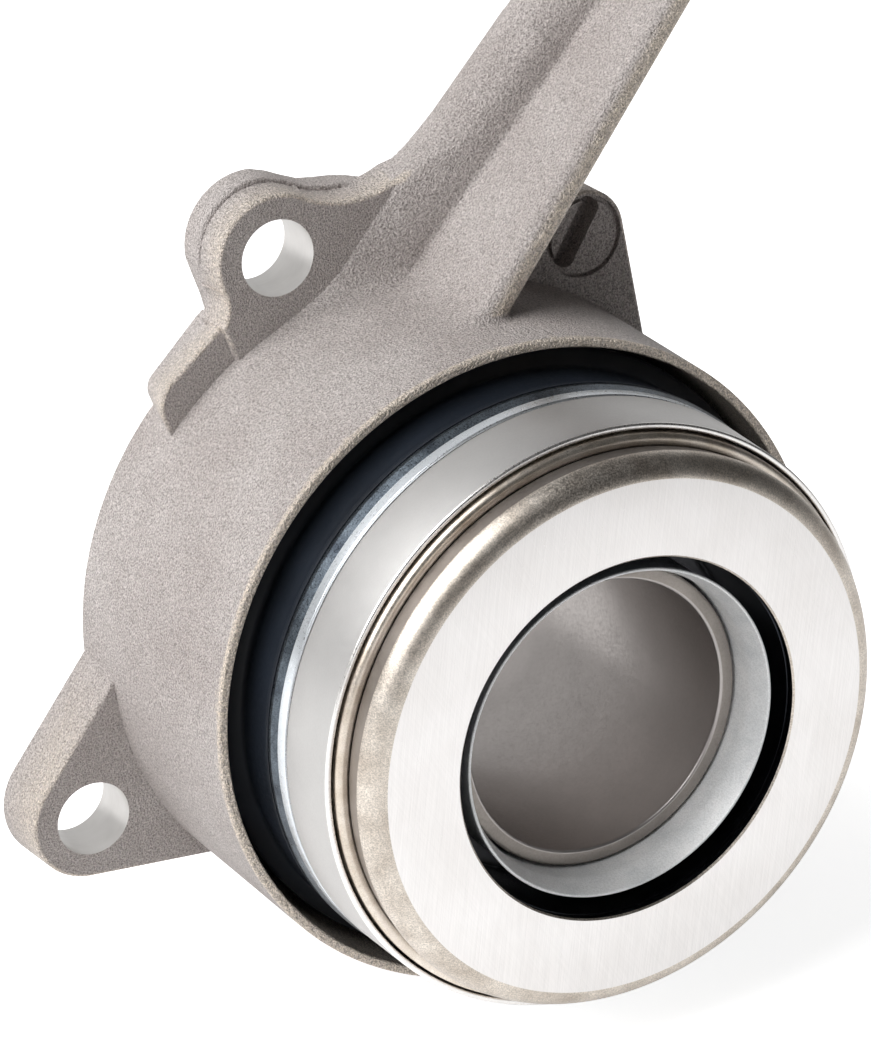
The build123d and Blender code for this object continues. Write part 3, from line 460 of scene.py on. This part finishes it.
# Casting: a distance field on a grid, blended where the forms meet, then cut by machining
def polygon_distance(px, pz, outline):
    """Signed distance to a closed outline, below zero inside."""
    outline = np.asarray(outline, float)
    best = np.full(px.shape, 1e9)
    inside = np.zeros(px.shape, bool)
    for (ax, az), (bx, bz) in zip(outline, np.roll(outline, -1, axis=0)):
        ex, ez = bx - ax, bz - az
        wx, wz = px - ax, pz - az
        t = np.clip((wx * ex + wz * ez) / max(ex * ex + ez * ez, 1e-12), 0, 1)
        best = np.minimum(best, (wx - ex * t) ** 2 + (wz - ez * t) ** 2)
        crosses = (az <= pz) != (bz <= pz)
        with np.errstate(divide="ignore", invalid="ignore"):
            at = ax + (pz - az) * ex / ez if ez else np.full(px.shape, np.inf)
        inside ^= crosses & (px < at)
    return np.where(inside, -1, 1) * np.sqrt(best)


def arc(start, middle, end, steps=10):
    """Points along the circle through three points."""
    (ax, ay), (bx, by), (cx, cy) = start, middle, end
    d = 2 * (ax * (by - cy) + bx * (cy - ay) + cx * (ay - by))
    ux = ((ax**2 + ay**2) * (by - cy) + (bx**2 + by**2) * (cy - ay) + (cx**2 + cy**2) * (ay - by)) / d
    uy = ((ax**2 + ay**2) * (cx - bx) + (bx**2 + by**2) * (ax - cx) + (cx**2 + cy**2) * (bx - ax)) / d
    radius = math.hypot(ax - ux, ay - uy)
    a0, a1, a2 = (math.atan2(y - uy, x - ux) for x, y in (start, middle, end))
    turn = (a2 - a0) % (2 * math.pi)
    if (a1 - a0) % (2 * math.pi) > turn:
        turn -= 2 * math.pi
    angles = [a0 + turn * k / steps for k in range(steps + 1)]
    return [(ux + radius * math.cos(a), uy + radius * math.sin(a)) for a in angles]


def tangent_point(centre, radius, point, side):
    """Where a line from a point touches a circle."""
    dx, dz = point[0] - centre[0], point[1] - centre[1]
    reach = math.hypot(dx, dz)
    share = radius / reach
    rest = math.sqrt(1 - share**2) * side
    x = centre[0] + radius * (dx * share - dz * rest) / reach
    z = centre[1] + radius * (dz * share + dx * rest) / reach
    return (x, z)


def soft_min(a, b, k):
    """Union of two distance fields with a blend about k wide."""
    h = np.maximum(k - np.abs(a - b), 0) / k
    return np.minimum(a, b) - h * h * k * 0.25


def lug_outline(angle):
    """A plain bolt lug: a round tip, with straight sides down to the skirt."""
    hole = on_circle(BOLT_CIRCLE_R, angle)
    first, last = on_circle(SKIRT_BORE_R, angle - LUG_SPREAD), on_circle(SKIRT_BORE_R, angle + LUG_SPREAD)
    touch_1, touch_2 = tangent_point(hole, LUG_TIP_R, first, 1), tangent_point(hole, LUG_TIP_R, last, -1)
    return [first] + arc(touch_1, on_circle(BOLT_CIRCLE_R + LUG_TIP_R, angle), touch_2, 40) + [last, (0, 0)]


# Outlines (x, z) as the photo shows them. Each ends inside the skirt.
UPPER_HOLE = on_circle(BOLT_CIRCLE_R, LUG_ANGLES["upper"])
NECK = (-24.4, 36.4)
SHOULDER_TURN, CROWN_TURN = math.radians(24), math.radians(58)
SHOULDER = (
    UPPER_HOLE[0] - LUG_TIP_R * math.cos(SHOULDER_TURN),
    UPPER_HOLE[1] - LUG_TIP_R * math.sin(SHOULDER_TURN),
)
CROWN = (UPPER_HOLE[0] + LUG_TIP_R * math.cos(CROWN_TURN), UPPER_HOLE[1] + LUG_TIP_R * math.sin(CROWN_TURN))
UPPER_LUG = (
    [(-22.2, 31.0)]
    + arc(NECK, (-23.75, 38.4), SHOULDER, 8)
    + arc(SHOULDER, on_circle(BOLT_CIRCLE_R + LUG_TIP_R, LUG_ANGLES["upper"]), CROWN, 24)
    + arc(CROWN, (-9.0, 48.9), (-2.0, 50.5), 12)
    + [(2.0, 51.6), (5.0, 50.5), (4.0, 40.0), (0, 20)]
)
REAR_FLANGE = (
    [(-20.0, 30.0), (-23.9, 35.0), (-23.1, 36.4), (-23.6, 38.2), (-24.5, 40.6)]
    + arc((-25.3, 42.8), (-23.0, 49.8), (-17.2, 52.0), 24)
    + [(-15.2, 51.5), (-13.2, 50.7), (-11.2, 50.0), (-9.0, 49.8), (-7.0, 49.7), (-5.0, 49.4), (-3.0, 48.9)]
    + [(-1.0, 49.2), (0.3, 49.8), (1.2, 50.5), (2.3, 51.0), (3.4, 51.3), (6.0, 51.0), (0, 20)]
)
STEP_PAD = [NECK] + arc((-30.6, 31.0), (-31.9, 28.9), (-31.7, 26.6), 8) + [(-29.8, 22.0), (-20, 20), (-20, 32)]
DISC_CENTRE = on_circle(DISC_CIRCLE_R, DISC_ANGLE)
BOSS_FOOT_1, BOSS_FOOT_2 = (29.2, 25.0), (5.0, 37.0)
BLIND_BOSS = (
    [BOSS_FOOT_1]
    + arc(
        tangent_point(DISC_CENTRE, BLIND_BOSS_R, BOSS_FOOT_1, 1),
        on_circle(DISC_CIRCLE_R + BLIND_BOSS_R, DISC_ANGLE),
        tangent_point(DISC_CENTRE, BLIND_BOSS_R, BOSS_FOOT_2, -1),
        20,
    )
    + [BOSS_FOOT_2, (0, 0)]
)


def rounded_join(a, b, edge):
    """Intersection of two distance fields with a rounded edge."""
    a, b = a + edge, b + edge
    return np.minimum(np.maximum(a, b), 0) + np.hypot(np.maximum(a, 0), np.maximum(b, 0)) - edge


def web_top(along):
    """Height of the web's front edge along the arm."""
    slope = (WEB_END_H - WEB_FOOT_H) / (WEB_LENGTH - WEB_START)
    return WEB_FOOT_H + slope * np.maximum(along - WEB_START, 0) - np.maximum(along - WEB_LENGTH, 0) * 1.6


def ridge_field(along, across, height):
    """Distance to the arm's round gallery ridge."""
    # Broad and low where it leaves the skirt, about 42 mm along, and round towards the end of the arm
    half_height = np.clip(5.0 + (along - 43) * 0.031, 4.8, RIDGE_R)
    half_width = RIDGE_R + 0.1 + 0.7 * np.clip((42 - along) / 6, 0, 1)
    a = across - np.clip(1.24 - (along - 43) * 0.029, 0, 1.5)
    b = height - half_height - (RIDGE_H - RIDGE_R)
    reach = np.hypot(a / half_width, b / half_height)
    ridge = reach * (reach - 1) / np.maximum(np.hypot(a / half_width**2, b / half_height**2), 1e-6)
    # The root has a steep wall beside the upper lug, which runs in over 9 mm, and a flat top that slopes up to the web
    wall = across - (ROOT_WALL_ACROSS - 3.2 * np.clip((along - 38) / 9, 0, 1))
    edge = np.interp(along, ROOT_ALONG, ROOT_EDGE_H)
    top = (height - edge - (ROOT_EDGE_ACROSS - across) * ROOT_SLOPE) * ROOT_SLOPE_COS
    root = np.maximum(rounded_join(wall, top, 0.9), -across)
    root = np.maximum(root, np.maximum(ROOT_LOW_H - height, along - ROOT_END))
    return np.maximum(soft_min(ridge, root, 1.5), np.maximum(along - ARM_LENGTH + 2, ARM_START - along))


def arm_field(along, across, height):
    """Distance to the supply arm: ridge, web, inlet boss and bleed boss."""
    web = rounded_join(np.abs(across - 0.2) - WEB_WALL / 2 + 0.2, height - web_top(along), 1.55)
    web = np.maximum(web, np.maximum(ARM_START - along, along - WEB_LENGTH - WEB_TAIL))
    arm = soft_min(ridge_field(along, across, height), web, 0.5)
    inlet = rounded_join(
        np.hypot(across, height - INLET_BOSS_R) - INLET_BOSS_R,
        np.abs(along - ARM_LENGTH + INLET_BOSS_LENGTH / 2) - INLET_BOSS_LENGTH / 2,
        1.0,
    )
    bleed = rounded_join(
        np.hypot(along - BLEED_ALONG, height - RIDGE_H) - BLEED_BOSS_R,
        np.maximum(across - BLEED_REACH, -across),
        1.0,
    )
    return soft_min(soft_min(arm, inlet, 2.0), bleed, 2.0)


def casting_field(px, height, pz):
    """Distance to the outer form of the casting, before its lugs are joined and it is machined."""
    cone = SKIRT_FOOT_R + (SKIRT_RIM_R - SKIRT_FOOT_R) * height / RIM_H
    skirt = np.maximum(np.hypot(px, pz) - cone, height - RIM_H - 1)
    along, across = arm_place(px, pz)
    arm = arm_field(along, across, height)
    # The fillet is wider beside the upper lug than on the web's side
    return np.maximum(soft_min(skirt, arm, np.clip(1.6 + across * 0.4, 0.5, 3.0)), -1 - height)


def casting_mesh(voxel):
    """Outer form of the casting as quads, in millimetres, with each corner moved onto the exact surface."""
    low, high = np.array([-54.0, -2.0, -43.0]), np.array([60.0, 36.5, 108.0])
    x, h, z = (np.arange(low[i], high[i], voxel) for i in range(3))
    px, pz = np.meshgrid(x, z, indexing="ij")
    field = casting_field(px[:, None, :], h[None, :, None], pz[:, None, :])
    band = 3.0
    grid = openvdb.FloatGrid(band)
    grid.copyFromArray(np.ascontiguousarray(np.clip(field, -band, band).astype(np.float32)))
    points, quads = grid.convertToQuads(0.0)
    points = points.astype(float) * voxel + low
    step = 0.02
    for _ in range(3):
        here = casting_field(*points.T)
        slope = np.empty_like(points)
        for i in range(3):
            moved = points.copy()
            moved[:, i] += step
            slope[:, i] = (casting_field(*moved.T) - here) / step
        size = np.maximum((slope**2).sum(1), 0.25)
        points -= slope * np.clip(here / size, -0.4 * voxel, 0.4 * voxel)[:, None]
    return points, quads


def offset(outline, distance):
    """Closed outline moved inward by a distance, corner by corner."""
    points = np.asarray(outline, float)
    way = np.roll(points, -1, axis=0) - points
    way /= np.maximum(np.hypot(way[:, 0], way[:, 1]), 1e-9)[:, None]
    turning = np.roll(points, -1, axis=0)
    area = (points[:, 0] * turning[:, 1] - turning[:, 0] * points[:, 1]).sum()
    inward = np.column_stack([-way[:, 1], way[:, 0]]) * (1 if area > 0 else -1)
    before = np.roll(inward, 1, axis=0)
    middle = inward + before
    length = np.maximum((middle * inward).sum(1), 0.5)
    return points + middle / length[:, None] * distance


def slab(name, outline, top, edge=0.4, draft=0.0, low=-1.0, back=None):
    """Closed plate on an outline of (x, z) points, from a low level up to its top, its front edge rounded.

    The plate widens to the back by its draft, or has an outline of its own there.
    """
    levels = [(low, draft * (top - low)), (top - edge, draft * edge)]
    if edge:
        levels += [(top - edge + edge * math.sin(a), edge * (1 - math.cos(a))) for a in (0.4, 0.8, 1.2, math.pi / 2)]
        levels.append((top, edge + 0.08))
    n = len(outline)
    vertices, faces = [], []
    for height, inset in levels:
        shape = back if back is not None and height == low else offset(outline, inset)
        vertices += [(x, -height, z) for x, z in shape]
    for k in range(len(levels) - 1):
        faces += [(k * n + i, k * n + (i + 1) % n, (k + 1) * n + (i + 1) % n, (k + 1) * n + i) for i in range(n)]
    last = (len(levels) - 1) * n
    faces += [tuple(range(n)), tuple(range(last, last + n))]
    obj = new_object(name, vertices, faces, "housing")
    fix_normals(obj)
    return obj


def add_lugs(obj):
    """Joins the three lugs, the flange behind the upper one, the step pad and the closed boss."""
    for name in ("lower", "side"):
        join(obj, slab("lug", lug_outline(LUG_ANGLES[name]), LUG_H, draft=DRAFT))
    join(obj, slab("flange", REAR_FLANGE, REAR_FLANGE_H))
    pad_back = offset(STEP_PAD, PAD_FLARE)
    pad_back[0], pad_back[-1] = (-23.2, 36.3), (-19.0, 33.0)
    join(obj, slab("pad", STEP_PAD, STEP_H, back=pad_back))
    join(obj, slab("lug", UPPER_LUG, LUG_H, low=2.6, draft=DRAFT))
    join(obj, slab("boss", BLIND_BOSS, BLIND_BOSS_H, edge=0.5))


def bore_out(obj):
    """Turns the inside of the skirt, its rim and the seal groove in the mounting face."""
    rim, bore = SKIRT_RIM_R, SKIRT_BORE_R
    cavity = [
        (0.0, -2.0, 0, 1), (FLANGE_SEAT_R, -2.0, 0, 1), (FLANGE_SEAT_R, FLANGE_SEAT_H, 0, 1),
        (TUBE_SEAT_R, FLANGE_SEAT_H, 0, 1), (TUBE_SEAT_R, CHAMBER_FLOOR_H, 0, 1), (CHAMBER_R, CHAMBER_FLOOR_H, 0, 1),
        (CHAMBER_R, BOSS_H, 0.3, 0), (BOSS_R, BOSS_H, 0.3), (BOSS_R, SPRING_FLOOR_H, 0.5), (bore, SPRING_FLOOR_H, 0.5),
        (bore, RIM_H - 0.15), (bore + 0.15, RIM_H), (rim - 0.35, RIM_H), (rim - 0.16, RIM_H - 0.05),
        (rim - 0.04, RIM_H - 0.16), (rim + 0.01, RIM_H - 0.34), (rim + 0.02, RIM_H - 0.6), (rim + 0.5, RIM_H - 0.8),
        (rim + 5, RIM_H - 0.8), (rim + 5, RIM_H + 2), (0.0, RIM_H + 2.0),
    ]
    turned_cut(obj, cavity, 320, CASTING, MACHINED)
    groove = [
        (SEAL_GROOVE_IN_R, -1), (SEAL_GROOVE_OUT_R, -1),
        (SEAL_GROOVE_OUT_R, SEAL_GROOVE_DEPTH), (SEAL_GROOVE_IN_R, SEAL_GROOVE_DEPTH),
    ]
    turned_cut(obj, groove, 192, MACHINED)


def blind_hole(radius, bottom, top, chamfer, beyond):
    """Profile of a hole with a chamfered mouth, and of the clear space beyond the mouth."""
    mouth, end = radius + chamfer, top + beyond
    return [(0, bottom), (radius, bottom), (radius, top - chamfer), (mouth, top), (mouth, end), (0, end)]


def drill(obj):
    """Cuts the bolt holes, the boss's round groove and slot, the inlet and the bleed bore."""
    bolt_hole = [(0, -1), (BOLT_HOLE_R + 0.5, -1), (BOLT_HOLE_R, 0.4), (BOLT_HOLE_R, LUG_H + 2), (0, LUG_H + 2)]
    for angle in LUG_ANGLES.values():
        x, z = on_circle(BOLT_CIRCLE_R, angle)
        turned_cut(obj, bolt_hole, 96, MACHINED, origin=(x, 0, z))

    x, z = DISC_CENTRE
    floor, above = BLIND_BOSS_H - DISC_GROOVE_DEPTH, BLIND_BOSS_H + 1
    ring = [
        (DISC_R, floor), (DISC_R + DISC_GROOVE_FLOOR, floor),
        (DISC_R + DISC_GROOVE_MOUTH, above), (DISC_R - DISC_BULGE, above),
    ]
    turned_cut(obj, ring, 96, CASTING, origin=(x, 0, z))
    c, s = math.cos(math.radians(SLOT_ANGLE)), math.sin(math.radians(SLOT_ANGLE))
    half, round_from, wide = SLOT_LENGTH / 2, SLOT_LENGTH / 2 - SLOT_ROUNDING, SLOT_HALF_WIDTH
    ends = arc((round_from, -wide), (half, 0), (round_from, wide), 8)
    ends += arc((-round_from, wide), (-half, 0), (-round_from, -wide), 8)
    slot = [(SLOT_CENTRE[0] + a * c - b * s, SLOT_CENTRE[1] + a * s + b * c) for a, b in ends]
    cut(obj, slab("cutter", slot, above, edge=0, low=BLIND_BOSS_H - SLOT_DEPTH), CASTING)

    way, out = Vector((ARM_COS, 0, ARM_SIN)), Vector((-ARM_SIN, 0, ARM_COS))
    x, z = arm_point(0, ARM_OFFSET)
    start = Vector((x, 0, z))
    inlet = blind_hole(INLET_R, ARM_LENGTH - INLET_DEPTH, ARM_LENGTH, 0.6, 2)
    origin = start + Vector((0, -INLET_BOSS_R, 0))
    turned_cut(obj, inlet, 96, MACHINED, origin=origin, axis=way, side=(0, -1, 0))
    bleed = blind_hole(BLEED_R, BLEED_REACH - BLEED_DEPTH, BLEED_REACH, 0.4, 1)
    origin = start + way * BLEED_ALONG + Vector((0, -RIDGE_H, 0))
    turned_cut(obj, bleed, 64, MACHINED, origin=origin, axis=out, side=(0, -1, 0))


def face_back(obj):
    """Sets the back of the arm a little forward and mills the mounting face."""
    arm_back = [arm_point(a, b + ARM_OFFSET) for a, b in ((54, -14), (110, -14), (110, 14), (54, 14))]
    cut(obj, slab("cutter", arm_back, ARM_BACK_H, edge=0, low=-5), CASTING)
    cut(obj, slab("cutter", [(-90, -90), (120, -90), (120, 120), (-90, 120)], 0, edge=0, low=-5), MACHINED)


def casting():
    """The housing."""
    points, quads = casting_mesh(VOXEL)
    points = np.column_stack([points[:, 0], -points[:, 1], points[:, 2]])
    obj = new_object("casting", points, quads, "housing", "housing", 35)
    fix_normals(obj)
    dress(obj, CASTING)
    thin_out(obj, CASTING_TRIANGLES)
    add_lugs(obj)
    bore_out(obj)
    drill(obj)
    face_back(obj)
    shade(obj, 38)
    mark_wear_and_highlight(obj)


def mark_wear_and_highlight(obj):
    """Stores, for each corner point, how much the edge there is brightened, from 0 to 1: partly fettling wear, partly
    a painted highlight.

    Brightened are the skirt's rim, the front of the web and the front edges of the lugs, pad and boss.
    """
    mesh = obj.data
    flat = np.empty(len(mesh.vertices) * 3)
    mesh.vertices.foreach_get("co", flat)
    px, height, pz = (flat.reshape(-1, 3) / MM * (1, -1, 1)).T
    r = np.hypot(px, pz)
    rim = (r > SKIRT_BORE_R - 0.1) & (r < SKIRT_RIM_R + 0.2)
    wear_and_highlight = np.where(rim, np.clip((height - RIM_H + 0.75) / 0.4, 0, 1), 0)
    along, across = arm_place(px, pz)
    near_top = np.clip((height - web_top(along) + 1.3) / 0.5, 0, 1)
    left, right = np.clip((1.3 - across) / 0.7, 0, 1), np.clip((across + 2.5) / 0.5, 0, 1)
    wear_and_highlight = np.maximum(wear_and_highlight, np.where((along > 30) & (r > SKIRT_FOOT_R), near_top * left * right, 0))
    slabs = [(lug_outline(LUG_ANGLES[name]), LUG_H) for name in ("lower", "side")]
    slabs += [(UPPER_LUG, LUG_H), (STEP_PAD, STEP_H), (BLIND_BOSS, BLIND_BOSS_H)]
    for outline, top in slabs:
        near = (np.abs(height - top) < 0.5) & (r > SKIRT_FOOT_R)
        gap = np.full(px.shape, 9.0)
        gap[near] = np.abs(polygon_distance(px[near], pz[near], outline))
        wear_and_highlight = np.maximum(wear_and_highlight, np.clip((0.45 - gap) / 0.2, 0, 0.7))
    mesh.attributes.new("wear_and_highlight", "FLOAT", "POINT").data.foreach_set("value", wear_and_highlight.astype(np.float32))


casting()


# Guide tube, carrier and bearing rings, turned from the profiles of the source. A corner is (r, h, fillet, label).
def turned(name, corners, body, node, segments, *materials):
    """A finished turned piece, with one material for each label."""
    dress(lathe(name, corners, body, node, segments), *materials)


turned(
    "guide_tube_turned",
    [(16.0, 0, 0.3), (21.0, 0, 0.3), (21.0, 1.2, 0.2), (17.8, 1.2, 0.1), (17.8, 48.7, 0.35, 1), (16.0, 48.7, 0.35)],
    "housing", "guide_tube", 256, TUBE, TUBE_END,
)
# Labels: 0 the flange's rim, 1 the sleeve and its flared lip, lightened as painted light, 2 the flange's back,
# darkened as painted shade
turned(
    "carrier_pressed",
    [
        (18.15, FLANGE_BACK_H, 0.3, 2), (34.9, FLANGE_BACK_H, 0.25, 2), (34.9, 38.3, 0.2, 2), (34.64, 39.5, 0.3, 0),
        (34.6, 40.9, 0.15, 0), (34.25, 40.9, 0.1, 0), (34.25, FLANGE_FRONT_H, 0, 0), (18.95, FLANGE_FRONT_H, 0.4, 1),
        (18.95, 50.95, 4, 1), (19.35, 53.95, 0.2, 1), (18.98, 53.95, 0.15, 1), (18.15, 51.2, 3, 1),
    ],
    "piston", "bearing_carrier", 256, ZINC, SLEEVE_LIT, ZINC_SHADE,
)
# Label 1 is the shell's rolled front edge, with its painted highlight.
turned(
    "shell_pressed",
    [
        (33.65, FLANGE_FRONT_H), (34.2, FLANGE_FRONT_H), (34.2, 40.95, 0.3), (34.65, 41.5, 0.5),
        (34.3, 49.95, 0.28, 1), (33.65, 49.95, 0.2, 1),
    ],
    "piston", "bearing_shell", 256, SHELL, SHELL_EDGE_HIGHLIGHT,
)
turned(
    "outer_ring_turned",
    [
        (23.0, FLANGE_FRONT_H), (33.35, FLANGE_FRONT_H), (33.35, 50.7, 0.9), (31.9, 50.7, 0.35), (31.9, 49.0),
        (29.4, 49.0), (29.4, RACE_FRONT_H, 0.1), (30.15, GROOVE_FRONT_H, 1.0), (30.15, GROOVE_BACK_H, 1.0),
        (29.4, RACE_BACK_H, 0.1), (29.4, 40.6), (23.0, 40.6),
    ],
    "piston", "bearing_outer_ring", 256, STRAW,
)
# Labels: 0 the ground face, 1 the bead round it, 2 recesses and race, 3 the ring's side, partly painted shade, 4 the
# bore, nearly black as painted shade of the gap
bead_turns = [math.radians(a) for a in range(10, 76, 5)]
turned(
    "contact_ring_turned",
    [
        (21.13, 41.8, 0, 4), (21.13, 54.3, 0, 4), (21.4, 54.4, 0, 4), (21.4, 54.6, 0, 2), (21.13, 54.7, 0, 4),
        (21.13, 55.4, 0, 1), (21.33, 55.6, 0, 0),
    ]
    + [(BEAD_CENTRE[0] + BEAD_R * math.sin(a), BEAD_CENTRE[1] + BEAD_R * math.cos(a), 0, 1) for a in bead_turns]
    + [
        (32.4, 53.15, 0.15, 1), (32.15, 52.9, 0.15, 3), (32.05, 50.85, 0.1, 3), (31.6, 50.8, 0.05, 2),
        (31.6, 49.3, 0.2, 2), (30.7, 49.3, 0, 2), (30.7, 51.8, 0, 2), (25.4, 51.8, 0, 2),
        (25.4, RACE_FRONT_H, 0, 2), (24.65, GROOVE_FRONT_H, 1, 2), (24.65, GROOVE_BACK_H, 1, 2),
        (25.4, RACE_BACK_H, 0, 2), (25.4, 41.8, 0, 2),
    ],
    "contact_ring", "contact_ring", 320, GROUND_FACE, BEAD, RECESS, SIDE_AND_SHADE, BORE_SHADE,
)

# Dust boot: rounded pleats, built in one pose; the real boot flattens as the piston goes back
PLEATS, FOLD_START, NECK_H = 5, 10.4, 31.0
BOOT_OUT_R, BOOT_IN_R, BOOT_WALL, BOOT_FILLET = 37.0, 34.5, 1.0, 0.9
rise = (NECK_H - FOLD_START) / (2 * PLEATS)
folds = [(BOOT_OUT_R if i % 2 else BOOT_IN_R, FOLD_START + rise * i, BOOT_FILLET) for i in range(2 * PLEATS + 1)]
BOOT = lathe(
    "boot_moulded",
    [(33.5, 8.8), (37.0, 8.8, 0.2), (37.0, 9.6, 0.3)]
    + folds
    + [(34.5, 36.8, 0.3), (34.9, 36.9, 0.1), (34.9, FLANGE_BACK_H), (33.5, FLANGE_BACK_H)]
    + [(r - BOOT_WALL, h, fillet) for r, h, fillet in reversed(folds)],
    "housing",
    "dust_boot",
    smooth_angle=60,
)
dress(BOOT, BOOT_RUBBER)
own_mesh(BOOT)

# Preload spring, built in one pose; the real spring squeezes shorter as the piston goes back
TURNS, PER_TURN, AROUND = 5, 48, 12
COIL_R, WIRE_R, COIL_START_H, COIL_RISE = 31.4, 1.1, 10.75, 25.7
STEPS = TURNS * PER_TURN
rings = []
for k in range(STEPS + 1):
    a = 2 * math.pi * k / PER_TURN
    height = COIL_START_H + COIL_RISE * k / STEPS
    for j in range(AROUND):
        b = 2 * math.pi * j / AROUND
        r = COIL_R + WIRE_R * math.cos(b)
        rings.append((r * math.cos(a), -height - WIRE_R * math.sin(b), r * math.sin(a)))
last = STEPS * AROUND
wire = [
    (k * AROUND + j, k * AROUND + (j + 1) % AROUND, (k + 1) * AROUND + (j + 1) % AROUND, (k + 1) * AROUND + j)
    for k in range(STEPS)
    for j in range(AROUND)
] + [tuple(range(AROUND)), tuple(range(last, last + AROUND))]
SPRING = new_object("spring_coiled", rings, wire, "housing", "preload_spring", 50)
fix_normals(SPRING)
dress(SPRING, DARK_STEEL)
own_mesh(SPRING)

# Finishes of the CAD nodes that keep their own mesh
CAD_FINISHES = {
    "guide_tube_seal": BLACK_RUBBER,
    "mounting_seal": BLACK_RUBBER,
    "spring_seat": PLAIN_STEEL,
    "annular_piston": DARK_PLASTIC,
    "piston_guide_ring": WHITE_PLASTIC,
    "piston_seal": BLACK_RUBBER,
    "bearing_front_seal": BLACK_RUBBER,
    "bearing_rear_seal": BLACK_RUBBER,
    "centring_spring": DARK_STEEL,
    "centring_spring_clip": DARK_STEEL,
    "bearing_cage": CAGE_PLASTIC,
    "bearing_balls": BALL_STEEL,
    "bleed_screw": ZINC,
    "bleed_cap": BLACK_RUBBER,
}
for name, material in CAD_FINISHES.items():
    dress(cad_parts[name], material)


# Floor, light and camera
CAMERA_FLOOR, GLOSSY_FLOOR, WORLD_LEVEL = 0.8, 0.41, 0.055
FLOOR_Z, FLOOR_HALF_SIZE = -0.0397, 6.0
CENTRE = (0, -0.02, 0.0)
LENS, SENSOR, CAMERA_PLACE = 132.45, 36, (-202.75, -373.63, 182.4)
CAMERA_RIGHT, CAMERA_WAY = (0.872, -0.4895, 0), (0.4517, 0.8048, -0.3851)


def plain_floor(z, size):
    """White floor that keeps the object's shadow. It glows evenly for the camera, and less in reflections."""
    mesh = bpy.data.meshes.new("floor")
    mesh.from_pydata([(-size, -size, z), (size, -size, z), (size, size, z), (-size, size, z)], [], [(0, 1, 2, 3)])
    obj = in_scene("floor", mesh)
    material = bpy.data.materials.new("floor")
    m = Tree(material)
    diffuse = m.add("ShaderNodeBsdfDiffuse")
    diffuse.inputs["Color"].default_value = (0.8, 0.8, 0.8, 1)
    glow = m.add("ShaderNodeEmission")
    path = m.add("ShaderNodeLightPath")
    seen = m.add("ShaderNodeMath", operation="MAXIMUM")
    m.link(path, "Is Glossy Ray", seen, 0)
    m.link(path, "Is Transmission Ray", seen, 1)
    mirrored = m.add("ShaderNodeMath", operation="MULTIPLY")
    m.link(seen, 0, mirrored, 0)
    mirrored.inputs[1].default_value = GLOSSY_FLOOR
    direct = m.add("ShaderNodeMath", operation="MULTIPLY_ADD")
    m.link(path, "Is Camera Ray", direct, 0)
    direct.inputs[1].default_value = CAMERA_FLOOR
    m.link(mirrored, 0, direct, 2)
    m.link(direct, 0, glow, "Strength")
    both = m.add("ShaderNodeAddShader")
    m.link(diffuse, 0, both, 0)
    m.link(glow, 0, both, 1)
    m.link(both, 0, m.output, "Surface")
    mesh.materials.append(material)


def area_light(name, place, target, size, energy):
    """A soft rectangular lamp turned towards a target."""
    data = bpy.data.lights.new(name, "AREA")
    data.shape = "RECTANGLE"
    data.size, data.size_y = size
    data.energy = energy
    obj = in_scene(name, data)
    obj.location = place
    obj.rotation_euler = (Vector(target) - Vector(place)).to_track_quat("-Z", "Y").to_euler()


def plain_world():
    """White for the camera, and a low even light for the object."""
    world = bpy.data.worlds.new("world")
    bpy.context.scene.world = world
    w = Tree(world, "ShaderNodeOutputWorld")
    background = w.add("ShaderNodeBackground")
    background.inputs["Color"].default_value = (1, 1, 1, 1)
    path = w.add("ShaderNodeLightPath")
    strength = w.add("ShaderNodeMix", data_type="FLOAT")
    w.link(path, "Is Camera Ray", strength, 0)
    strength.inputs[2].default_value = WORLD_LEVEL
    strength.inputs[3].default_value = 1.0
    w.link(strength, 0, background, "Strength")
    w.link(background, 0, w.output, "Surface")


def photo_camera():
    """The photo's view, solved from its circles."""
    data = bpy.data.cameras.new("camera")
    data.sensor_width = SENSOR
    data.lens = LENS
    data.clip_start, data.clip_end = 0.01, 50
    obj = in_scene("camera", data)
    right = Vector(CAMERA_RIGHT).normalized()
    back = -Vector(CAMERA_WAY).normalized()
    up = back.cross(right).normalized()
    right = up.cross(back)
    turn = Matrix((right, up, back)).transposed().to_4x4()
    obj.matrix_world = Matrix.Translation(Vector(CAMERA_PLACE) * MM) @ turn
    bpy.context.scene.camera = obj


plain_floor(FLOOR_Z, FLOOR_HALF_SIZE)
plain_world()
area_light("key", place=(-0.78, -0.04, 0.78), target=CENTRE, size=(1.1, 1.0), energy=18.5)
area_light("backdrop", place=(0.1, 1.1, 0.6), target=CENTRE, size=(3.2, 1.4), energy=9)
photo_camera()
bpy.context.scene.view_settings.view_transform = "Standard"
